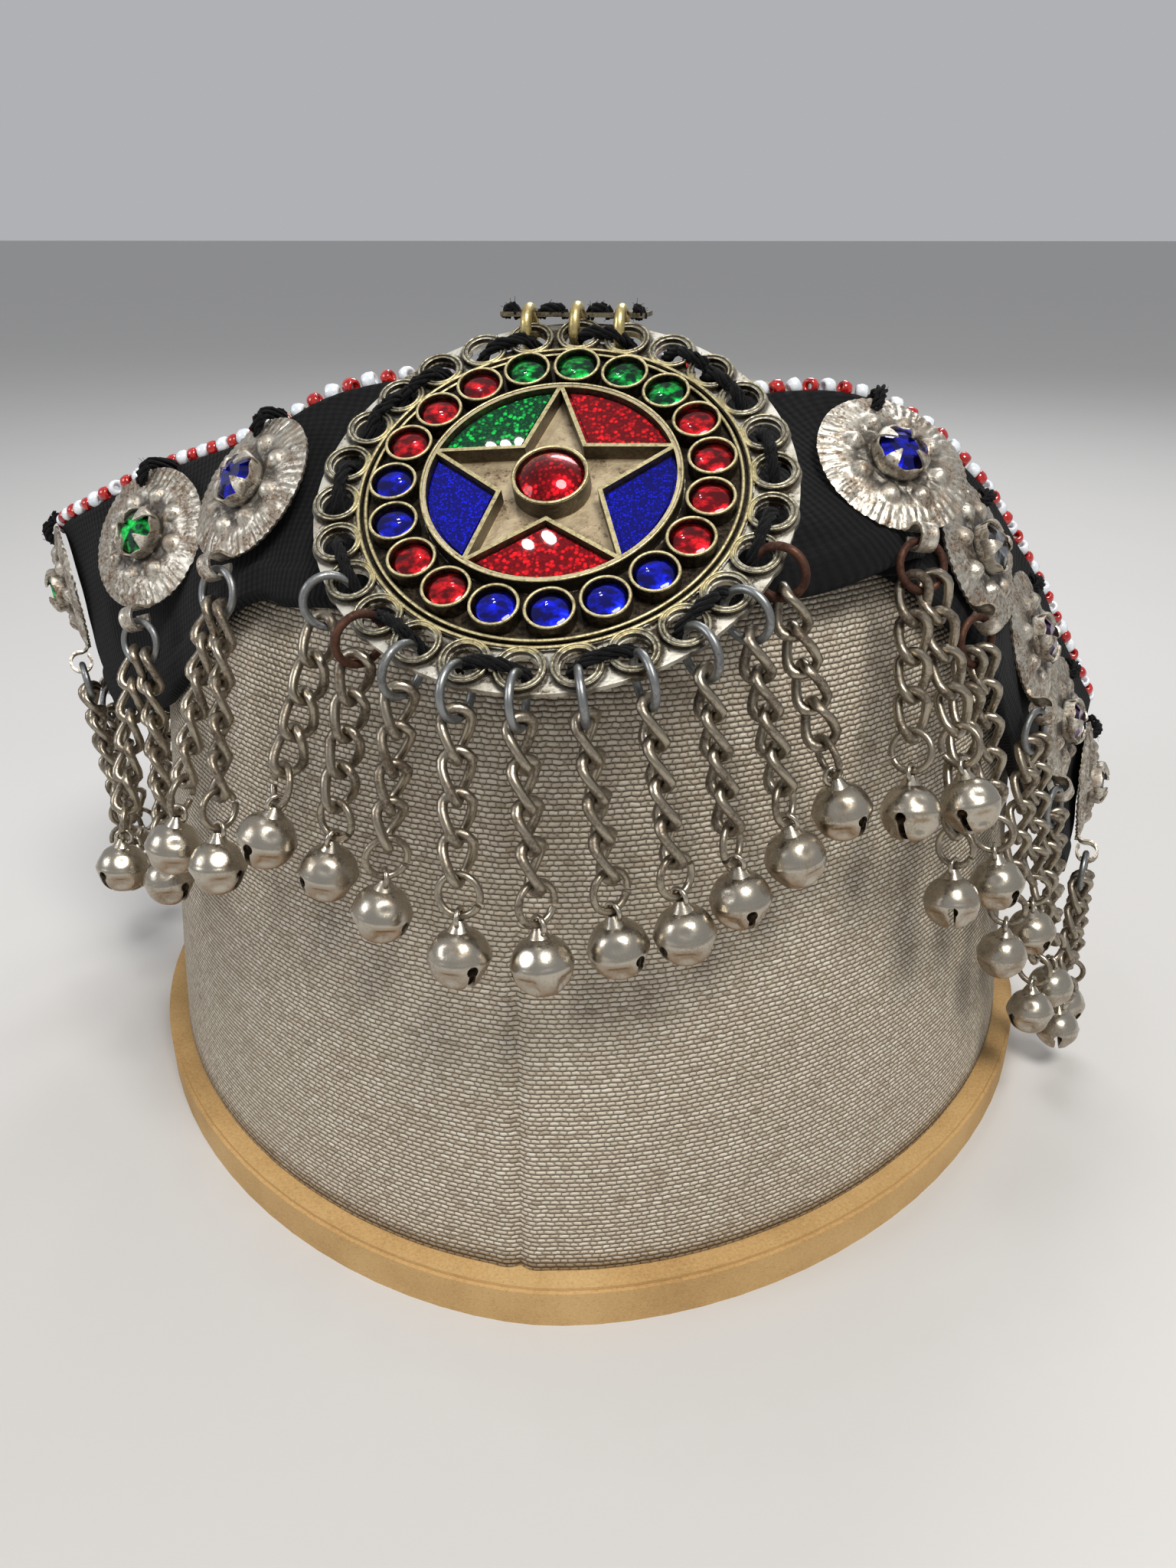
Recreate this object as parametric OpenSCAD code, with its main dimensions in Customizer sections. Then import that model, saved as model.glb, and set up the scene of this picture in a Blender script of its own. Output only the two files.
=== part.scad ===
// Matha patti: a round folk medallion on a black knitted head band, with sheet discs, chains and bells,
// draped over a linen display stand on a wood-fibre board.
// The front faces -Y and up is +Z. The origin lies under the middle of the whole footprint, on the table.

/* [Stand] */
// Width of the base board
board_w = 230; // [226:1:240]
// Thickness of the base board
board_t = 9; // [6:0.5:9]
// How far the board shows past the form, at the sides and in front
board_rim = 5; // [3:0.5:8]
// Width of the linen form where it stands on the board
form_w = 220; // [216:1:222]
// How far the form reaches in front of its widest line
form_front = 119; // [116:1:120]
// How far the form reaches behind its widest line
form_back = 90; // [80:1:95]
// Distance of the form's widest line behind the middle that the band's stations are measured from
widest_y = 14.5; // [14:0.5:16]

/* [Head band] */
// Thickness of the knitted band
band_t = 2.4; // [1.6:0.1:2.6]
// Extra thickness of the folded hem at the low edge
hem_t = 0.8; // [0:0.1:1]

/* [Medallion] */
// Radius of the medallion over its scallops
rim_r = 40; // [40:0.1:40.4]
// Thickness of the base plate
plate_t = 1; // [0.8:0.1:1]
// Radius of the circle of loops
loop_circle_r = 35.6; // [35.4:0.1:35.8]
// Radius of the circle of ring stones
stone_circle_r = 26.05; // [25.9:0.05:26.3]
// Outer radius of the inner ring
inner_ring_r = 21.3; // [21:0.1:21.5]
// Outer radius of the centre bezel
centre_bezel_r = 6.35; // [6:0.05:6.6]

/* [Discs] */
// Radius of a sheet disc
disc_r = 14.5; // [14:0.1:15]
// Thickness of the sheet
sheet_t = 0.7; // [0.5:0.1:0.8]
// Outer radius of the cup for the stone
cup_r = 5; // [4.8:0.1:5.2]

/* [Chains] */
// Wire of a chain link
link_wire = 1.5; // [1.3:0.1:1.5]
// Mid radius of a link's round ends
link_bend_r = 2.45; // [2.4:0.05:2.5]
// Length of a link's straight sides
link_side = 3.3; // [2.8:0.1:3.4]
// Wire of a jump ring
jump_wire = 1.4; // [1:0.1:1.4]
// Mid radius of a jump ring
jump_r = 4.2; // [4.1:0.05:4.3]
// Radius of a bell
bell_r = 5.25; // [4.8:0.05:5.3]
// Links in each chain of the medallion
fringe_links = 4; // [3:1:4]

/* [Hidden] */
$fn = 48;
gap = 0.2;

fringe_count = 10;
disc_count = 10;
loop_count = 26;
ring_stone_count = 19;
pane_count = 5;

// Colours
fibreboard = "#c9a06a";
linen = "#ddd3bf";
knit = "#15151a";
white_metal = "#a9a69c";
dark_silver = "#7d7a72";
brass_tone = "#b39a5a";
rust = "#6b4632";
green_glass = "#1f8a4c";
red_glass = "#b3202c";
blue_glass = "#1f5fae";
clear_glass = "#c9ccd2";
violet_glass = "#7a4fa0";

// Egg-shaped outlines of the board and the form
front_power = 1.8;
back_power = 2.2;
outline_steps = 64;
board_steps = 96;
// Height of the step that softens the board's top edge
board_soft = 0.8;

// Profile of the form: inset of the outline and height above the floor
form_profile = [
    [0, 9],
    [3, 45],
    [6.5, 85],
    [10, 112],
    [13, 124],
    [17, 133.5],
    [23, 141],
    [32, 148.5],
    [45, 154],
    [60, 157],
    [78, 158.5],
    [95, 159]
];
// The back is a little fuller than the front
back_inset = 0.8;

// Stations of the head band from its left end to its right end: the middle of the cloth (x, y, z), the
// azimuth and elevation of its face, its reach up and down from the middle, and how far its low edge
// folds over toward the form in degrees
stations = [
    [-116, 72, 72, -98, 2, 18, 22, 3],
    [-121, 47, 84, -97, 0, 18, 22, 3],
    [-123.5, 20, 98, -86, -4, 17, 23, 4],
    [-117, -9, 113, -58, -4, 16, 25, 4],
    [-103, -26, 122, -38, 12, 15.5, 30, 10],
    [-82, -38, 132.5, -28, 30, 16.5, 32, 20],
    [-54.8, -55.6, 147.3, -43, 39, 13, 24, 16],
    [-37, -62, 151, -26, 51, 22.5, 26, 26],
    [2, -75.5, 150, -5, 54, 34, 22, 30],
    [36, -68, 150, 8, 54, 30, 20, 38],
    [56.2, -46.4, 151.6, 28, 48, 16.5, 23, 8],
    [77.2, -43.6, 133.6, 61, 28, 22, 19, 12],
    [93.5, -27.5, 113, 66, 20, 22, 22, 36],
    [106.5, -13, 90, 63, 12, 22, 22, 25],
    [119.5, 0.5, 69.5, 70, 5, 22, 22, 12],
    [123.5, 21, 57, 80, 0, 22, 22, 5]
];
last_station = len(stations) - 1;
steps_per_station = 4;
steps_across = 8;
// The cloth is flat down to this distance below its middle, and folds over from there
fold_from = 8;

// The medallion lies at this station, its plate this far off the face of the band
medallion_station = 8;
medallion_rise = 0.7;
medallion_az = stations[medallion_station][3];
medallion_el = stations[medallion_station][4];
loop_turn = 105;
stone_turn = 108;
star_turn = 94;
loop_wall_h = 1.2;
loop_wall_r = 4;
loop_wall = 1.1;
loop_hole_r = 2.7;
loop_slot = 1.6;
loop_slot_l = 5;
// First loop of each pair whose holes are joined by a slot
slot_firsts = [-1, 1, 3, 6, 8, 10, 12, 14, 16, 18, 20, 22];
scallop_r = rim_r - loop_circle_r;
plate_r = 39.6;
// Inner and outer radius of the two plain rings between the ring stones and the loops
band_rings = [[30.35, 31], [31.45, 32.4]];
band_ring_h = 0.8;
bezel_r = 4;
bezel_wall = 0.5;
bezel_h = 2.8;
inner_ring_wall = 0.6;
inner_ring_h = 3;
centre_bezel_wall = 0.7;
centre_bezel_h = 3.6;
sink = 0.2;
stone_gap = 0.1;
// Wedge cells of the star: where the point of a wedge lies and half its opening angle
wedge_apex = 8.5;
wedge_half = 55.9;
wedge_reach = 30;
// The cells' walls, to both sides of the wedge's outline
cell_edge = 0.4;
floor_edge = 0.3;
// Glass panes: their lower step and their top, drawn in from the wedge and high over the plate
pane_edge = 0.55;
pane_h = 1.6;
pane_top_edge = 1.1;
pane_top_h = 2.1;
// Cut stones: height of the girdle and of the crown over it, and the table as a part of the girdle
ring_girdle_h = 2;
ring_crown_h = 1.1;
disc_girdle_h = 1.6;
disc_crown_h = 1;
table_part = 0.6;
// Colour of each ring stone, clockwise from the first one left of the top: 0 green, 1 red, 2 blue
ring_colours = [0, 0, 0, 0, 1, 1, 1, 1, 2, 2, 2, 2, 1, 1, 2, 2, 1, 1, 1];

// Small plate that lies back from the medallion's top rings
crown_w = 26;
crown_l = 11;
crown_t = 0.8;
crown_mid = -2.5;
crown_lie = -37;
// Its near edge reaches in this far from the top of the middle ring, with a notch for each ring
crown_in = 3.4;
crown_notch_r = 1.35;
crown_notch_out = 0.35;
// Middles of the three top rings, beside and above the medallion's middle, and their height over its back
top_ring_places = [[-10.2, 38.2], [-1.6, 38.7], [6.4, 38.2]];
top_ring_lift = 1;
top_ring_r = 3.3;
top_ring_wire = 2;

// Discs, at these stations of the band, from left to right, with their height over the middle of the
// cloth, and the glass of each
disc_stations = [1, 2, 3, 5, 6, 10, 11, 12, 13, 14];
disc_lift = [3.4, 3.4, 4.2, 8.1, 5.2, 8.2, 3.8, 3.4, 3.8, 3.4];
// How far each disc sits along the band from its station, and below the middle of the cloth
disc_slide = [[0, 0], [0, 0], [0, -2], [2, 1.5], [3, 3], [0, 5], [-1.5, 0], [0, 0], [0, 0], [0, 0]];
disc_glass = [
    red_glass,
    clear_glass,
    green_glass,
    green_glass,
    blue_glass,
    blue_glass,
    clear_glass,
    violet_glass,
    violet_glass,
    clear_glass
];
dish_flat_r = 9.5;
dish_drop = 1.2;
boss_count = 8;
boss_circle_r = 8.3;
boss_ball_r = 2;
boss_sink = 0.6;
cup_wall = 0.6;
cup_h = 3;
claw_count = 4;
claw_w = 1.2;
claw_l = 2;
claw_lean = 38;
claw_sink = 0.3;
tab_w = 3.5;
tab_lap = 1.2;
eye_r = 2.6;
eye_hole_r = 1.9;
eye_reach = 17.5;
eye_to_ring = 4.75;

// Lean of each disc's chains outward from the plumb line, and the links in each of them
drop_lean = [2, 0, -5, 11, 16, 22, 11, 5, 6, 2];
drop_links = [5, 5, 5, 5, 5, 4, 5, 5, 5, 4];
// The two chains of a disc part by this angle on the ring, and hang apart by this angle each, with
// a little more slack on the slanting wire
drop_part = 26;
drop_splay = 6;
drop_slack = 0.7;

// Fringe: the loop that each chain hangs from, and its lean to the right and to the front
first_fringe_loop = 18;
fringe_lean = [
    [-18, 8],
    [-12, 0],
    [-8, 2],
    [0, 10],
    [5, 8],
    [8, 2],
    [10, 3],
    [11, 0],
    [14, -1],
    [18, -1]
];
ring_hang = 1.4;

// Round ring and bell at the end of a chain
end_ring_r = 3.45;
end_ring_wire = 1.1;
bell_loop_r = 1.5;
bell_loop_wire = 0.9;
bell_drop = 8.2;
bell_wall = 0.65;
bell_slot = 1.3;
collar_r = 1.7;
collar_h = 0.8;
collar_sink = 0.4;
play = 0.2;
jump_play = 0.35;

// Small helpers
function unit(v) = v / norm(v);
function signed_power(v, p) = sign(v) * pow(abs(v), p);
function face_normal(az, el) = [sin(az) * cos(el), -cos(az) * cos(el), sin(el)];
function slope_up(az, el) = [-sin(az) * sin(el), cos(az) * sin(el), cos(el)];

// Shift of stand and band together that brings the middle of the whole footprint over the origin
footprint_shift = [3.05, 5.33, 0];

// Outline of the stand, inset from the form's foot, with the half width and both reaches
function outline_point(a, half, front, back) =
    let (
        power = sin(a) < 0 ? front_power : back_power,
        reach = sin(a) < 0 ? front : back
    )
    [
        footprint_shift[0] + half * signed_power(cos(a), 2 / power),
        footprint_shift[1] + widest_y + reach * signed_power(sin(a), 2 / power)
    ];

function outline(half, front, back, steps) =
    [for (i = [0:steps - 1]) outline_point(360 * i / steps, half, front, back)];

function form_outline(inset) =
    outline(form_w / 2 - inset, form_front - inset, form_back - back_inset * inset, outline_steps);

// Side faces of a skin over rings of points, one ring after another
function side_faces(rings, count) = [
    for (r = [0:rings - 2])
        for (i = [0:count - 1])
            let (j = (i + 1) % count)
            [r * count + i, (r + 1) * count + i, (r + 1) * count + j, r * count + j]
];

// Skin of the form, closed with one flat face at each end
function form_faces(rings, count) = concat(
    [[for (i = [0:count - 1]) i]],
    side_faces(rings, count),
    [[for (i = [count - 1:-1:0]) (rings - 1) * count + i]]
);

// Skin of the band, closed at each end with a row of faces from its front to its back
function band_faces(rings, count) =
    let (last = (rings - 1) * count)
    concat(
        [for (k = [0:count / 2 - 2]) [k, k + 1, count - 2 - k, count - 1 - k]],
        side_faces(rings, count),
        [for (k = [0:count / 2 - 2]) [last + count - 1 - k, last + count - 2 - k, last + k + 1, last + k]]
    );

// Smooth run of the band through its stations
function station(i) = stations[max(0, min(last_station, i))];
function blend(a, b, c, d, t) =
    0.5 * (2 * b + (c - a) * t + (2 * a - 5 * b + 4 * c - d) * t * t + (3 * b - a - 3 * c + d) * t * t * t);
function band_at(u) =
    let (i = min(floor(u), last_station - 1))
    blend(station(i - 1), station(i), station(i + 1), station(i + 2), u - i);
function band_point(u) = let (s = band_at(u)) footprint_shift + [s[0], s[1], s[2]];
function band_normal(u) = let (s = band_at(u)) face_normal(s[3], s[4]);
function band_along(u) =
    let (
        n = band_normal(u),
        d = band_point(min(u + 0.05, last_station)) - band_point(max(u - 0.05, 0))
    )
    unit(d - n * (n * d));
function band_down(u) = cross(band_along(u), band_normal(u));

// Point of the cloth at distance s below its middle line, off its mid surface by the given height
function cloth_point(u, s, off) =
    let (
        row = band_at(u),
        bend_r = (row[6] - fold_from) / (max(row[7], 1) * PI / 180),
        a = s > fold_from ? (s - fold_from) / bend_r * 180 / PI : 0,
        flat = min(s, fold_from)
    )
    band_point(u)
    + band_down(u) * (flat + (bend_r + off) * sin(a))
    + band_normal(u) * (off * cos(a) - bend_r * (1 - cos(a)));

// Ring of the cloth's skin across the band, with the folded hem along its low edge
function cloth_ring(u) =
    let (
        row = band_at(u),
        drops = [for (k = [0:steps_across]) -row[5] + (row[5] + row[6]) * k / steps_across]
    )
    concat(
        [for (k = [0:steps_across]) cloth_point(u, drops[k], band_t / 2 + (k == steps_across ? hem_t : 0))],
        [for (k = [steps_across:-1:0]) cloth_point(u, drops[k], -band_t / 2)]
    );

module base_board() {
    half = board_w / 2;
    front = form_front + board_rim;
    back = form_back + board_rim;
    color(fibreboard)
    union() {
        linear_extrude(board_t - board_soft)
        polygon(outline(half, front, back, board_steps));
        linear_extrude(board_t)
        polygon(outline(half - board_soft, front - board_soft, back - board_soft, board_steps));
    }
}

module linen_form() {
    rings = len(form_profile);
    points = [
        for (k = [0:rings - 1])
            for (p = form_outline(form_profile[k][0]))
                [p[0], p[1], k == 0 ? board_t + gap : form_profile[k][1]]
    ];
    color(linen)
    polyhedron(points, form_faces(rings, outline_steps), convexity = 4);
}

module head_band() {
    rings = last_station * steps_per_station + 1;
    points = [for (k = [0:rings - 1]) each cloth_ring(k / steps_per_station)];
    color(knit)
    polyhedron(points, band_faces(rings, 2 * (steps_across + 1)), convexity = 8);
}

// Places of the medallion's parts
medallion_centre =
    band_point(medallion_station) + face_normal(medallion_az, medallion_el) * (band_t / 2 + medallion_rise);
function loop_angle(i) = loop_turn - i * 360 / loop_count;
function stone_angle(i) = stone_turn - i * 360 / ring_stone_count;
function pane_angle(i) = star_turn - 36 - i * 72;

module on_medallion() {
    translate(medallion_centre)
    rotate([90 - medallion_el, 0, medallion_az])
    children();
}

module at_polar(a, r) {
    rotate(a)
    translate([r, 0, 0])
    children();
}

// Wedge of the star and the outline of one glass cell in it, drawn in by the given edge
module wedge(edge) {
    apex = wedge_apex + edge / sin(wedge_half);
    side = wedge_reach * tan(wedge_half);
    polygon([
        [apex, 0],
        [apex + wedge_reach, -side],
        [apex + wedge_reach, side]
    ]);
}

module pane_outline(edge) {
    intersection() {
        circle(r = inner_ring_r - inner_ring_wall - edge);
        wedge(edge);
    }
}

module loop_openings() {
    for (i = [0:loop_count - 1])
        at_polar(loop_angle(i), loop_circle_r)
        circle(r = loop_hole_r);
    for (i = slot_firsts)
        at_polar((loop_angle(i) + loop_angle(i + 1)) / 2, loop_circle_r * cos(180 / loop_count))
        square([loop_slot, loop_slot_l], center = true);
}

module base_plate() {
    linear_extrude(plate_t)
    difference() {
        union() {
            circle(r = plate_r);
            for (i = [0:loop_count - 1])
                at_polar(loop_angle(i), loop_circle_r)
                circle(r = scallop_r);
        }
        loop_openings();
    }
}

module loop_walls() {
    translate([0, 0, plate_t - sink])
    linear_extrude(loop_wall_h)
    difference() {
        for (i = [0:loop_count - 1])
            at_polar(loop_angle(i), loop_circle_r)
            difference() {
                circle(r = loop_wall_r);
                circle(r = loop_wall_r - loop_wall);
            }
        loop_openings();
    }
}

module plain_rings() {
    for (ring = band_rings)
        translate([0, 0, plate_t - sink])
        linear_extrude(band_ring_h + sink)
        difference() {
            circle(r = ring[1], $fn = 96);
            circle(r = ring[0], $fn = 96);
        }
}

module tube(r, wall, h) {
    translate([0, 0, plate_t - sink])
    difference() {
        cylinder(r = r, h = h + sink);
        translate([0, 0, -1])
        cylinder(r = r - wall, h = h + sink + 2);
    }
}

// Inner ring with the walls of the five glass cells, round the star-shaped floor
module star_cells() {
    translate([0, 0, plate_t - sink])
    linear_extrude(inner_ring_h + sink)
    difference() {
        circle(r = inner_ring_r);
        for (i = [0:pane_count - 1])
            rotate(pane_angle(i))
            pane_outline(cell_edge);
        difference() {
            circle(r = inner_ring_r - inner_ring_wall);
            for (i = [0:pane_count - 1])
                rotate(pane_angle(i))
                wedge(-floor_edge);
        }
    }
}

module medallion_frame() {
    color(white_metal)
    on_medallion()
    union() {
        base_plate();
        loop_walls();
        plain_rings();
        for (i = [0:ring_stone_count - 1])
            at_polar(stone_angle(i), stone_circle_r)
            tube(bezel_r, bezel_wall, bezel_h);
        star_cells();
        tube(centre_bezel_r, centre_bezel_wall, centre_bezel_h);
    }
}

module crown_notch() {
    translate([0, crown_notch_out])
    circle(r = crown_notch_r);
    translate([-crown_notch_r, crown_notch_out - crown_l])
    square([2 * crown_notch_r, crown_l]);
}

module crown_plate() {
    color(brass_tone)
    on_medallion()
    translate([0, top_ring_places[1][1] + top_ring_r, top_ring_lift])
    rotate([crown_lie, 0, 0])
    linear_extrude(crown_t, center = true)
    difference() {
        translate([crown_mid - crown_w / 2, -crown_in])
        square([crown_w, crown_l]);
        for (place = top_ring_places)
            translate([place[0], 0])
            crown_notch();
    }
}

module centre_stone() {
    seat = plate_t + stone_gap;
    r = centre_bezel_r - centre_bezel_wall - stone_gap;
    dome_r = 8.5;
    rise = 5;
    color(red_glass)
    on_medallion()
    intersection() {
        translate([0, 0, seat])
        cylinder(r = r, h = rise);
        translate([0, 0, seat + rise - dome_r])
        sphere(r = dome_r, $fn = 64);
    }
}

// Cut stone with a table, round to ten sides
module cut_stone(r, girdle, crown) {
    cylinder(r = r, h = girdle, $fn = 10);
    translate([0, 0, girdle - 0.01])
    cylinder(r1 = r, r2 = r * table_part, h = crown, $fn = 10);
}

module ring_stones(colour_index) {
    on_medallion()
    for (i = [0:ring_stone_count - 1])
        if (ring_colours[i] == colour_index)
            at_polar(stone_angle(i), stone_circle_r)
            translate([0, 0, plate_t + stone_gap])
            cut_stone(bezel_r - bezel_wall - stone_gap, ring_girdle_h, ring_crown_h);
}

module ring_stones_green() {
    color(green_glass) ring_stones(0);
}

module ring_stones_red() {
    color(red_glass) ring_stones(1);
}

module ring_stones_blue() {
    color(blue_glass) ring_stones(2);
}

pane_colours = [red_glass, blue_glass, red_glass, blue_glass, green_glass];

module star_pane(i) {
    color(pane_colours[i - 1])
    on_medallion()
    rotate(pane_angle(i - 1))
    translate([0, 0, plate_t + stone_gap]) {
        linear_extrude(pane_h)
        pane_outline(pane_edge);
        linear_extrude(pane_top_h)
        pane_outline(pane_top_edge);
    }
}

module torus(mid_r, wire) {
    rotate_extrude()
    translate([mid_r, 0])
    circle(d = wire, $fn = 16);
}

module top_ring(i) {
    color(brass_tone)
    on_medallion()
    translate([top_ring_places[i - 1][0], top_ring_places[i - 1][1], top_ring_lift])
    rotate([0, 90, 0])
    torus(top_ring_r, top_ring_wire);
}

// Disc: shallow dish of sheet with bosses, a cup with claws, a tab and a curled eye
module dish() {
    rotate_extrude($fn = 96)
    polygon([
        [0, 0],
        [dish_flat_r, 0],
        [disc_r, -dish_drop],
        [disc_r, -dish_drop + sheet_t],
        [dish_flat_r, sheet_t],
        [0, sheet_t]
    ]);
}

module boss() {
    intersection() {
        translate([0, 0, -boss_sink])
        sphere(r = boss_ball_r, $fn = 32);
        translate([0, 0, sheet_t / 2])
        cylinder(r = boss_ball_r, h = boss_ball_r);
    }
}

module cup() {
    translate([0, 0, sheet_t / 2])
    difference() {
        cylinder(r = cup_r, h = cup_h);
        translate([0, 0, sheet_t / 2])
        cylinder(r = cup_r - cup_wall, h = cup_h);
    }
}

module claw() {
    translate([cup_r - cup_wall / 2, -claw_w / 2, cup_h - claw_sink])
    rotate([0, -claw_lean, 0])
    translate([-cup_wall / 2, 0, 0])
    cube([cup_wall, claw_w, claw_l]);
}

module tab_and_eye() {
    eye_z = eye_r - dish_drop;
    translate([-tab_w / 2, -eye_reach, -dish_drop])
    cube([tab_w, eye_reach - disc_r + tab_lap, sheet_t]);
    translate([0, -eye_reach, eye_z])
    rotate([0, 90, 0])
    difference() {
        cylinder(r = eye_r, h = tab_w, center = true);
        cylinder(r = eye_hole_r, h = tab_w + 2, center = true);
    }
}

// Children set at a point with their x and z axes along two square unit vectors
module frame_at(at, x, z) {
    y = cross(z, x);
    multmatrix([
        [x[0], y[0], z[0], at[0]],
        [x[1], y[1], z[1], at[1]],
        [x[2], y[2], z[2], at[2]],
        [0, 0, 0, 1]
    ])
    children();
}

function disc_centre(i) =
    let (u = disc_stations[i - 1], slide = disc_slide[i - 1])
    band_point(u)
    + band_normal(u) * disc_lift[i - 1]
    + band_along(u) * slide[0]
    + band_down(u) * slide[1];

module at_disc(i) {
    u = disc_stations[i - 1];
    frame_at(disc_centre(i), band_along(u), band_normal(u))
    children();
}

module disc(i) {
    color(dark_silver)
    at_disc(i)
    union() {
        dish();
        for (k = [0:boss_count - 1])
            at_polar(k * 360 / boss_count, boss_circle_r)
            boss();
        cup();
        for (k = [0:claw_count - 1])
            rotate(45 + k * 360 / claw_count)
            claw();
        tab_and_eye();
    }
}

module disc_stone(i) {
    color(disc_glass[i - 1])
    at_disc(i)
    translate([0, 0, sheet_t + stone_gap])
    cut_stone(cup_r - cup_wall - stone_gap, disc_girdle_h, disc_crown_h);
}

// One chain link, upright, round its own middle
module link() {
    for (side = [0, 180])
        rotate([0, side, 0])
        translate([0, 0, link_side / 2])
        rotate([90, 0, 0])
        rotate_extrude(angle = 180)
        translate([link_bend_r, 0])
        circle(d = link_wire, $fn = 16);
    for (x = [-link_bend_r, link_bend_r])
        translate([x, 0, 0])
        cylinder(d = link_wire, h = link_side, center = true, $fn = 16);
}

// Small round bell on its loop, hanging from the top of that loop
module bell() {
    translate([0, 0, -bell_loop_r])
    rotate([90, 0, 0])
    torus(bell_loop_r, bell_loop_wire);
    difference() {
        union() {
            translate([0, 0, -bell_drop])
            sphere(r = bell_r);
            translate([0, 0, -bell_drop + bell_r - collar_sink])
            cylinder(r = collar_r, h = collar_h);
        }
        translate([0, 0, -bell_drop])
        sphere(r = bell_r - bell_wall);
        translate([-bell_r, -bell_slot / 2, -bell_drop - bell_r - 1])
        cube([2 * bell_r, bell_slot, bell_r]);
    }
}

// Chain of links with a ring and a bell, hung from a jump ring's wire at the origin
link_half = link_side / 2 + link_bend_r;
link_pitch = 2 * link_half - link_wire - play;
first_link = (jump_wire + link_wire) / 2 + jump_play - link_half;
// Turn of the links about the chain, one after another
link_turns = [60, -30];

module chain(count) {
    last_foot = first_link - (count - 1) * link_pitch - link_half;
    end_ring_top = last_foot + (link_wire + end_ring_wire) / 2 + play;
    bell_top = end_ring_top - 2 * end_ring_r + (end_ring_wire + bell_loop_wire) / 2 + play;
    for (k = [0:count - 1])
        translate([0, 0, first_link - k * link_pitch])
        rotate(link_turns[k % 2])
        link();
    translate([0, 0, end_ring_top - end_ring_r])
    rotate(link_turns[count % 2])
    rotate([90, 0, 0])
    torus(end_ring_r, end_ring_wire);
    translate([0, 0, bell_top])
    rotate(link_turns[(count + 1) % 2])
    bell();
}

module jump_ring() {
    rotate([90, 0, 0])
    torus(jump_r, jump_wire);
}

// Frame of a fringe chain: its hanging direction, and a ring that passes through a loop of the rim
function fringe_hang(i) = unit([tan(fringe_lean[i - 1][0]), -tan(fringe_lean[i - 1][1]), -1]);
function rim_way(a) =
    let (up = slope_up(medallion_az, medallion_el))
    cross(up, face_normal(medallion_az, medallion_el)) * cos(a) + up * sin(a);

module at_fringe(i) {
    out = rim_way(loop_angle(first_fringe_loop + 1 - i));
    hang = fringe_hang(i);
    rim = medallion_centre
        + out * (rim_r + loop_circle_r + loop_hole_r) / 2
        + face_normal(medallion_az, medallion_el) * (plate_t + loop_wall_h - sink) / 2;
    frame_at(rim + hang * ring_hang, unit(out - hang * (out * hang)), -hang)
    children();
}

module fringe_chain(i) {
    color(i == 2 || i == 10 ? rust : dark_silver)
    at_fringe(i) {
        jump_ring();
        translate([0, 0, -jump_r])
        chain(fringe_links);
    }
}

module drop_chain(i) {
    u = disc_stations[i - 1];
    along = band_along(u);
    level = unit([along[0], along[1], 0]);
    lean = drop_lean[i - 1];
    hang = cross(level, [0, 0, 1]) * sin(lean) - [0, 0, 1] * cos(lean);
    eye = disc_centre(i) + band_down(u) * eye_reach + band_normal(u) * (eye_r - dish_drop);
    centre = eye + unit(hang - along * (along * hang)) * eye_to_ring;
    color(dark_silver)
    frame_at(centre, unit(along - hang * (along * hang)), -hang) {
        jump_ring();
        for (side = [-1, 1])
            translate([side * jump_r * sin(drop_part), 0, drop_slack - jump_r * cos(drop_part)])
            rotate([0, -side * drop_splay, 0])
            chain(drop_links[i - 1]);
    }
}

base_board();
linen_form();
head_band();
medallion_frame();
crown_plate();
centre_stone();
ring_stones_green();
ring_stones_red();
ring_stones_blue();
for (i = [1:3])
    top_ring(i);
for (i = [1:pane_count])
    star_pane(i);
for (i = [1:disc_count])
    disc(i);
for (i = [1:disc_count])
    disc_stone(i);
for (i = [1:fringe_count])
    fringe_chain(i);
for (i = [1:disc_count])
    drop_chain(i);
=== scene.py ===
import math
import random

import bmesh
import bpy
from mathutils import Matrix, Vector, noise


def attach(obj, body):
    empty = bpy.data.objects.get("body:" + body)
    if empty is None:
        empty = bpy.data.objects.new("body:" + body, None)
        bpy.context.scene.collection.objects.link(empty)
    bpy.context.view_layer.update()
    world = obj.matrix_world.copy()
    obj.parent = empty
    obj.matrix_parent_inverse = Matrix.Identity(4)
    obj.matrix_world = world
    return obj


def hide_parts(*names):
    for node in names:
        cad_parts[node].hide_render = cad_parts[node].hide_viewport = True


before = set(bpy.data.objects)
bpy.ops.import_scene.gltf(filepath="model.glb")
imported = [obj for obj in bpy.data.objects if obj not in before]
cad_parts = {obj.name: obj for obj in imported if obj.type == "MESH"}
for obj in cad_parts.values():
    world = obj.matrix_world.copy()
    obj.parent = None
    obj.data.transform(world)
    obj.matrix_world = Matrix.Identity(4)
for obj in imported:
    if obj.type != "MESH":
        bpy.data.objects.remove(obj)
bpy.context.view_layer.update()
random.seed(14)
mm = 0.001  # pieces are modelled in millimetres and brought to metres when they are finished
zAxis = Vector((0, 0, 1))


# shader maths: one wrapped socket, and one method that adds a node

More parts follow.
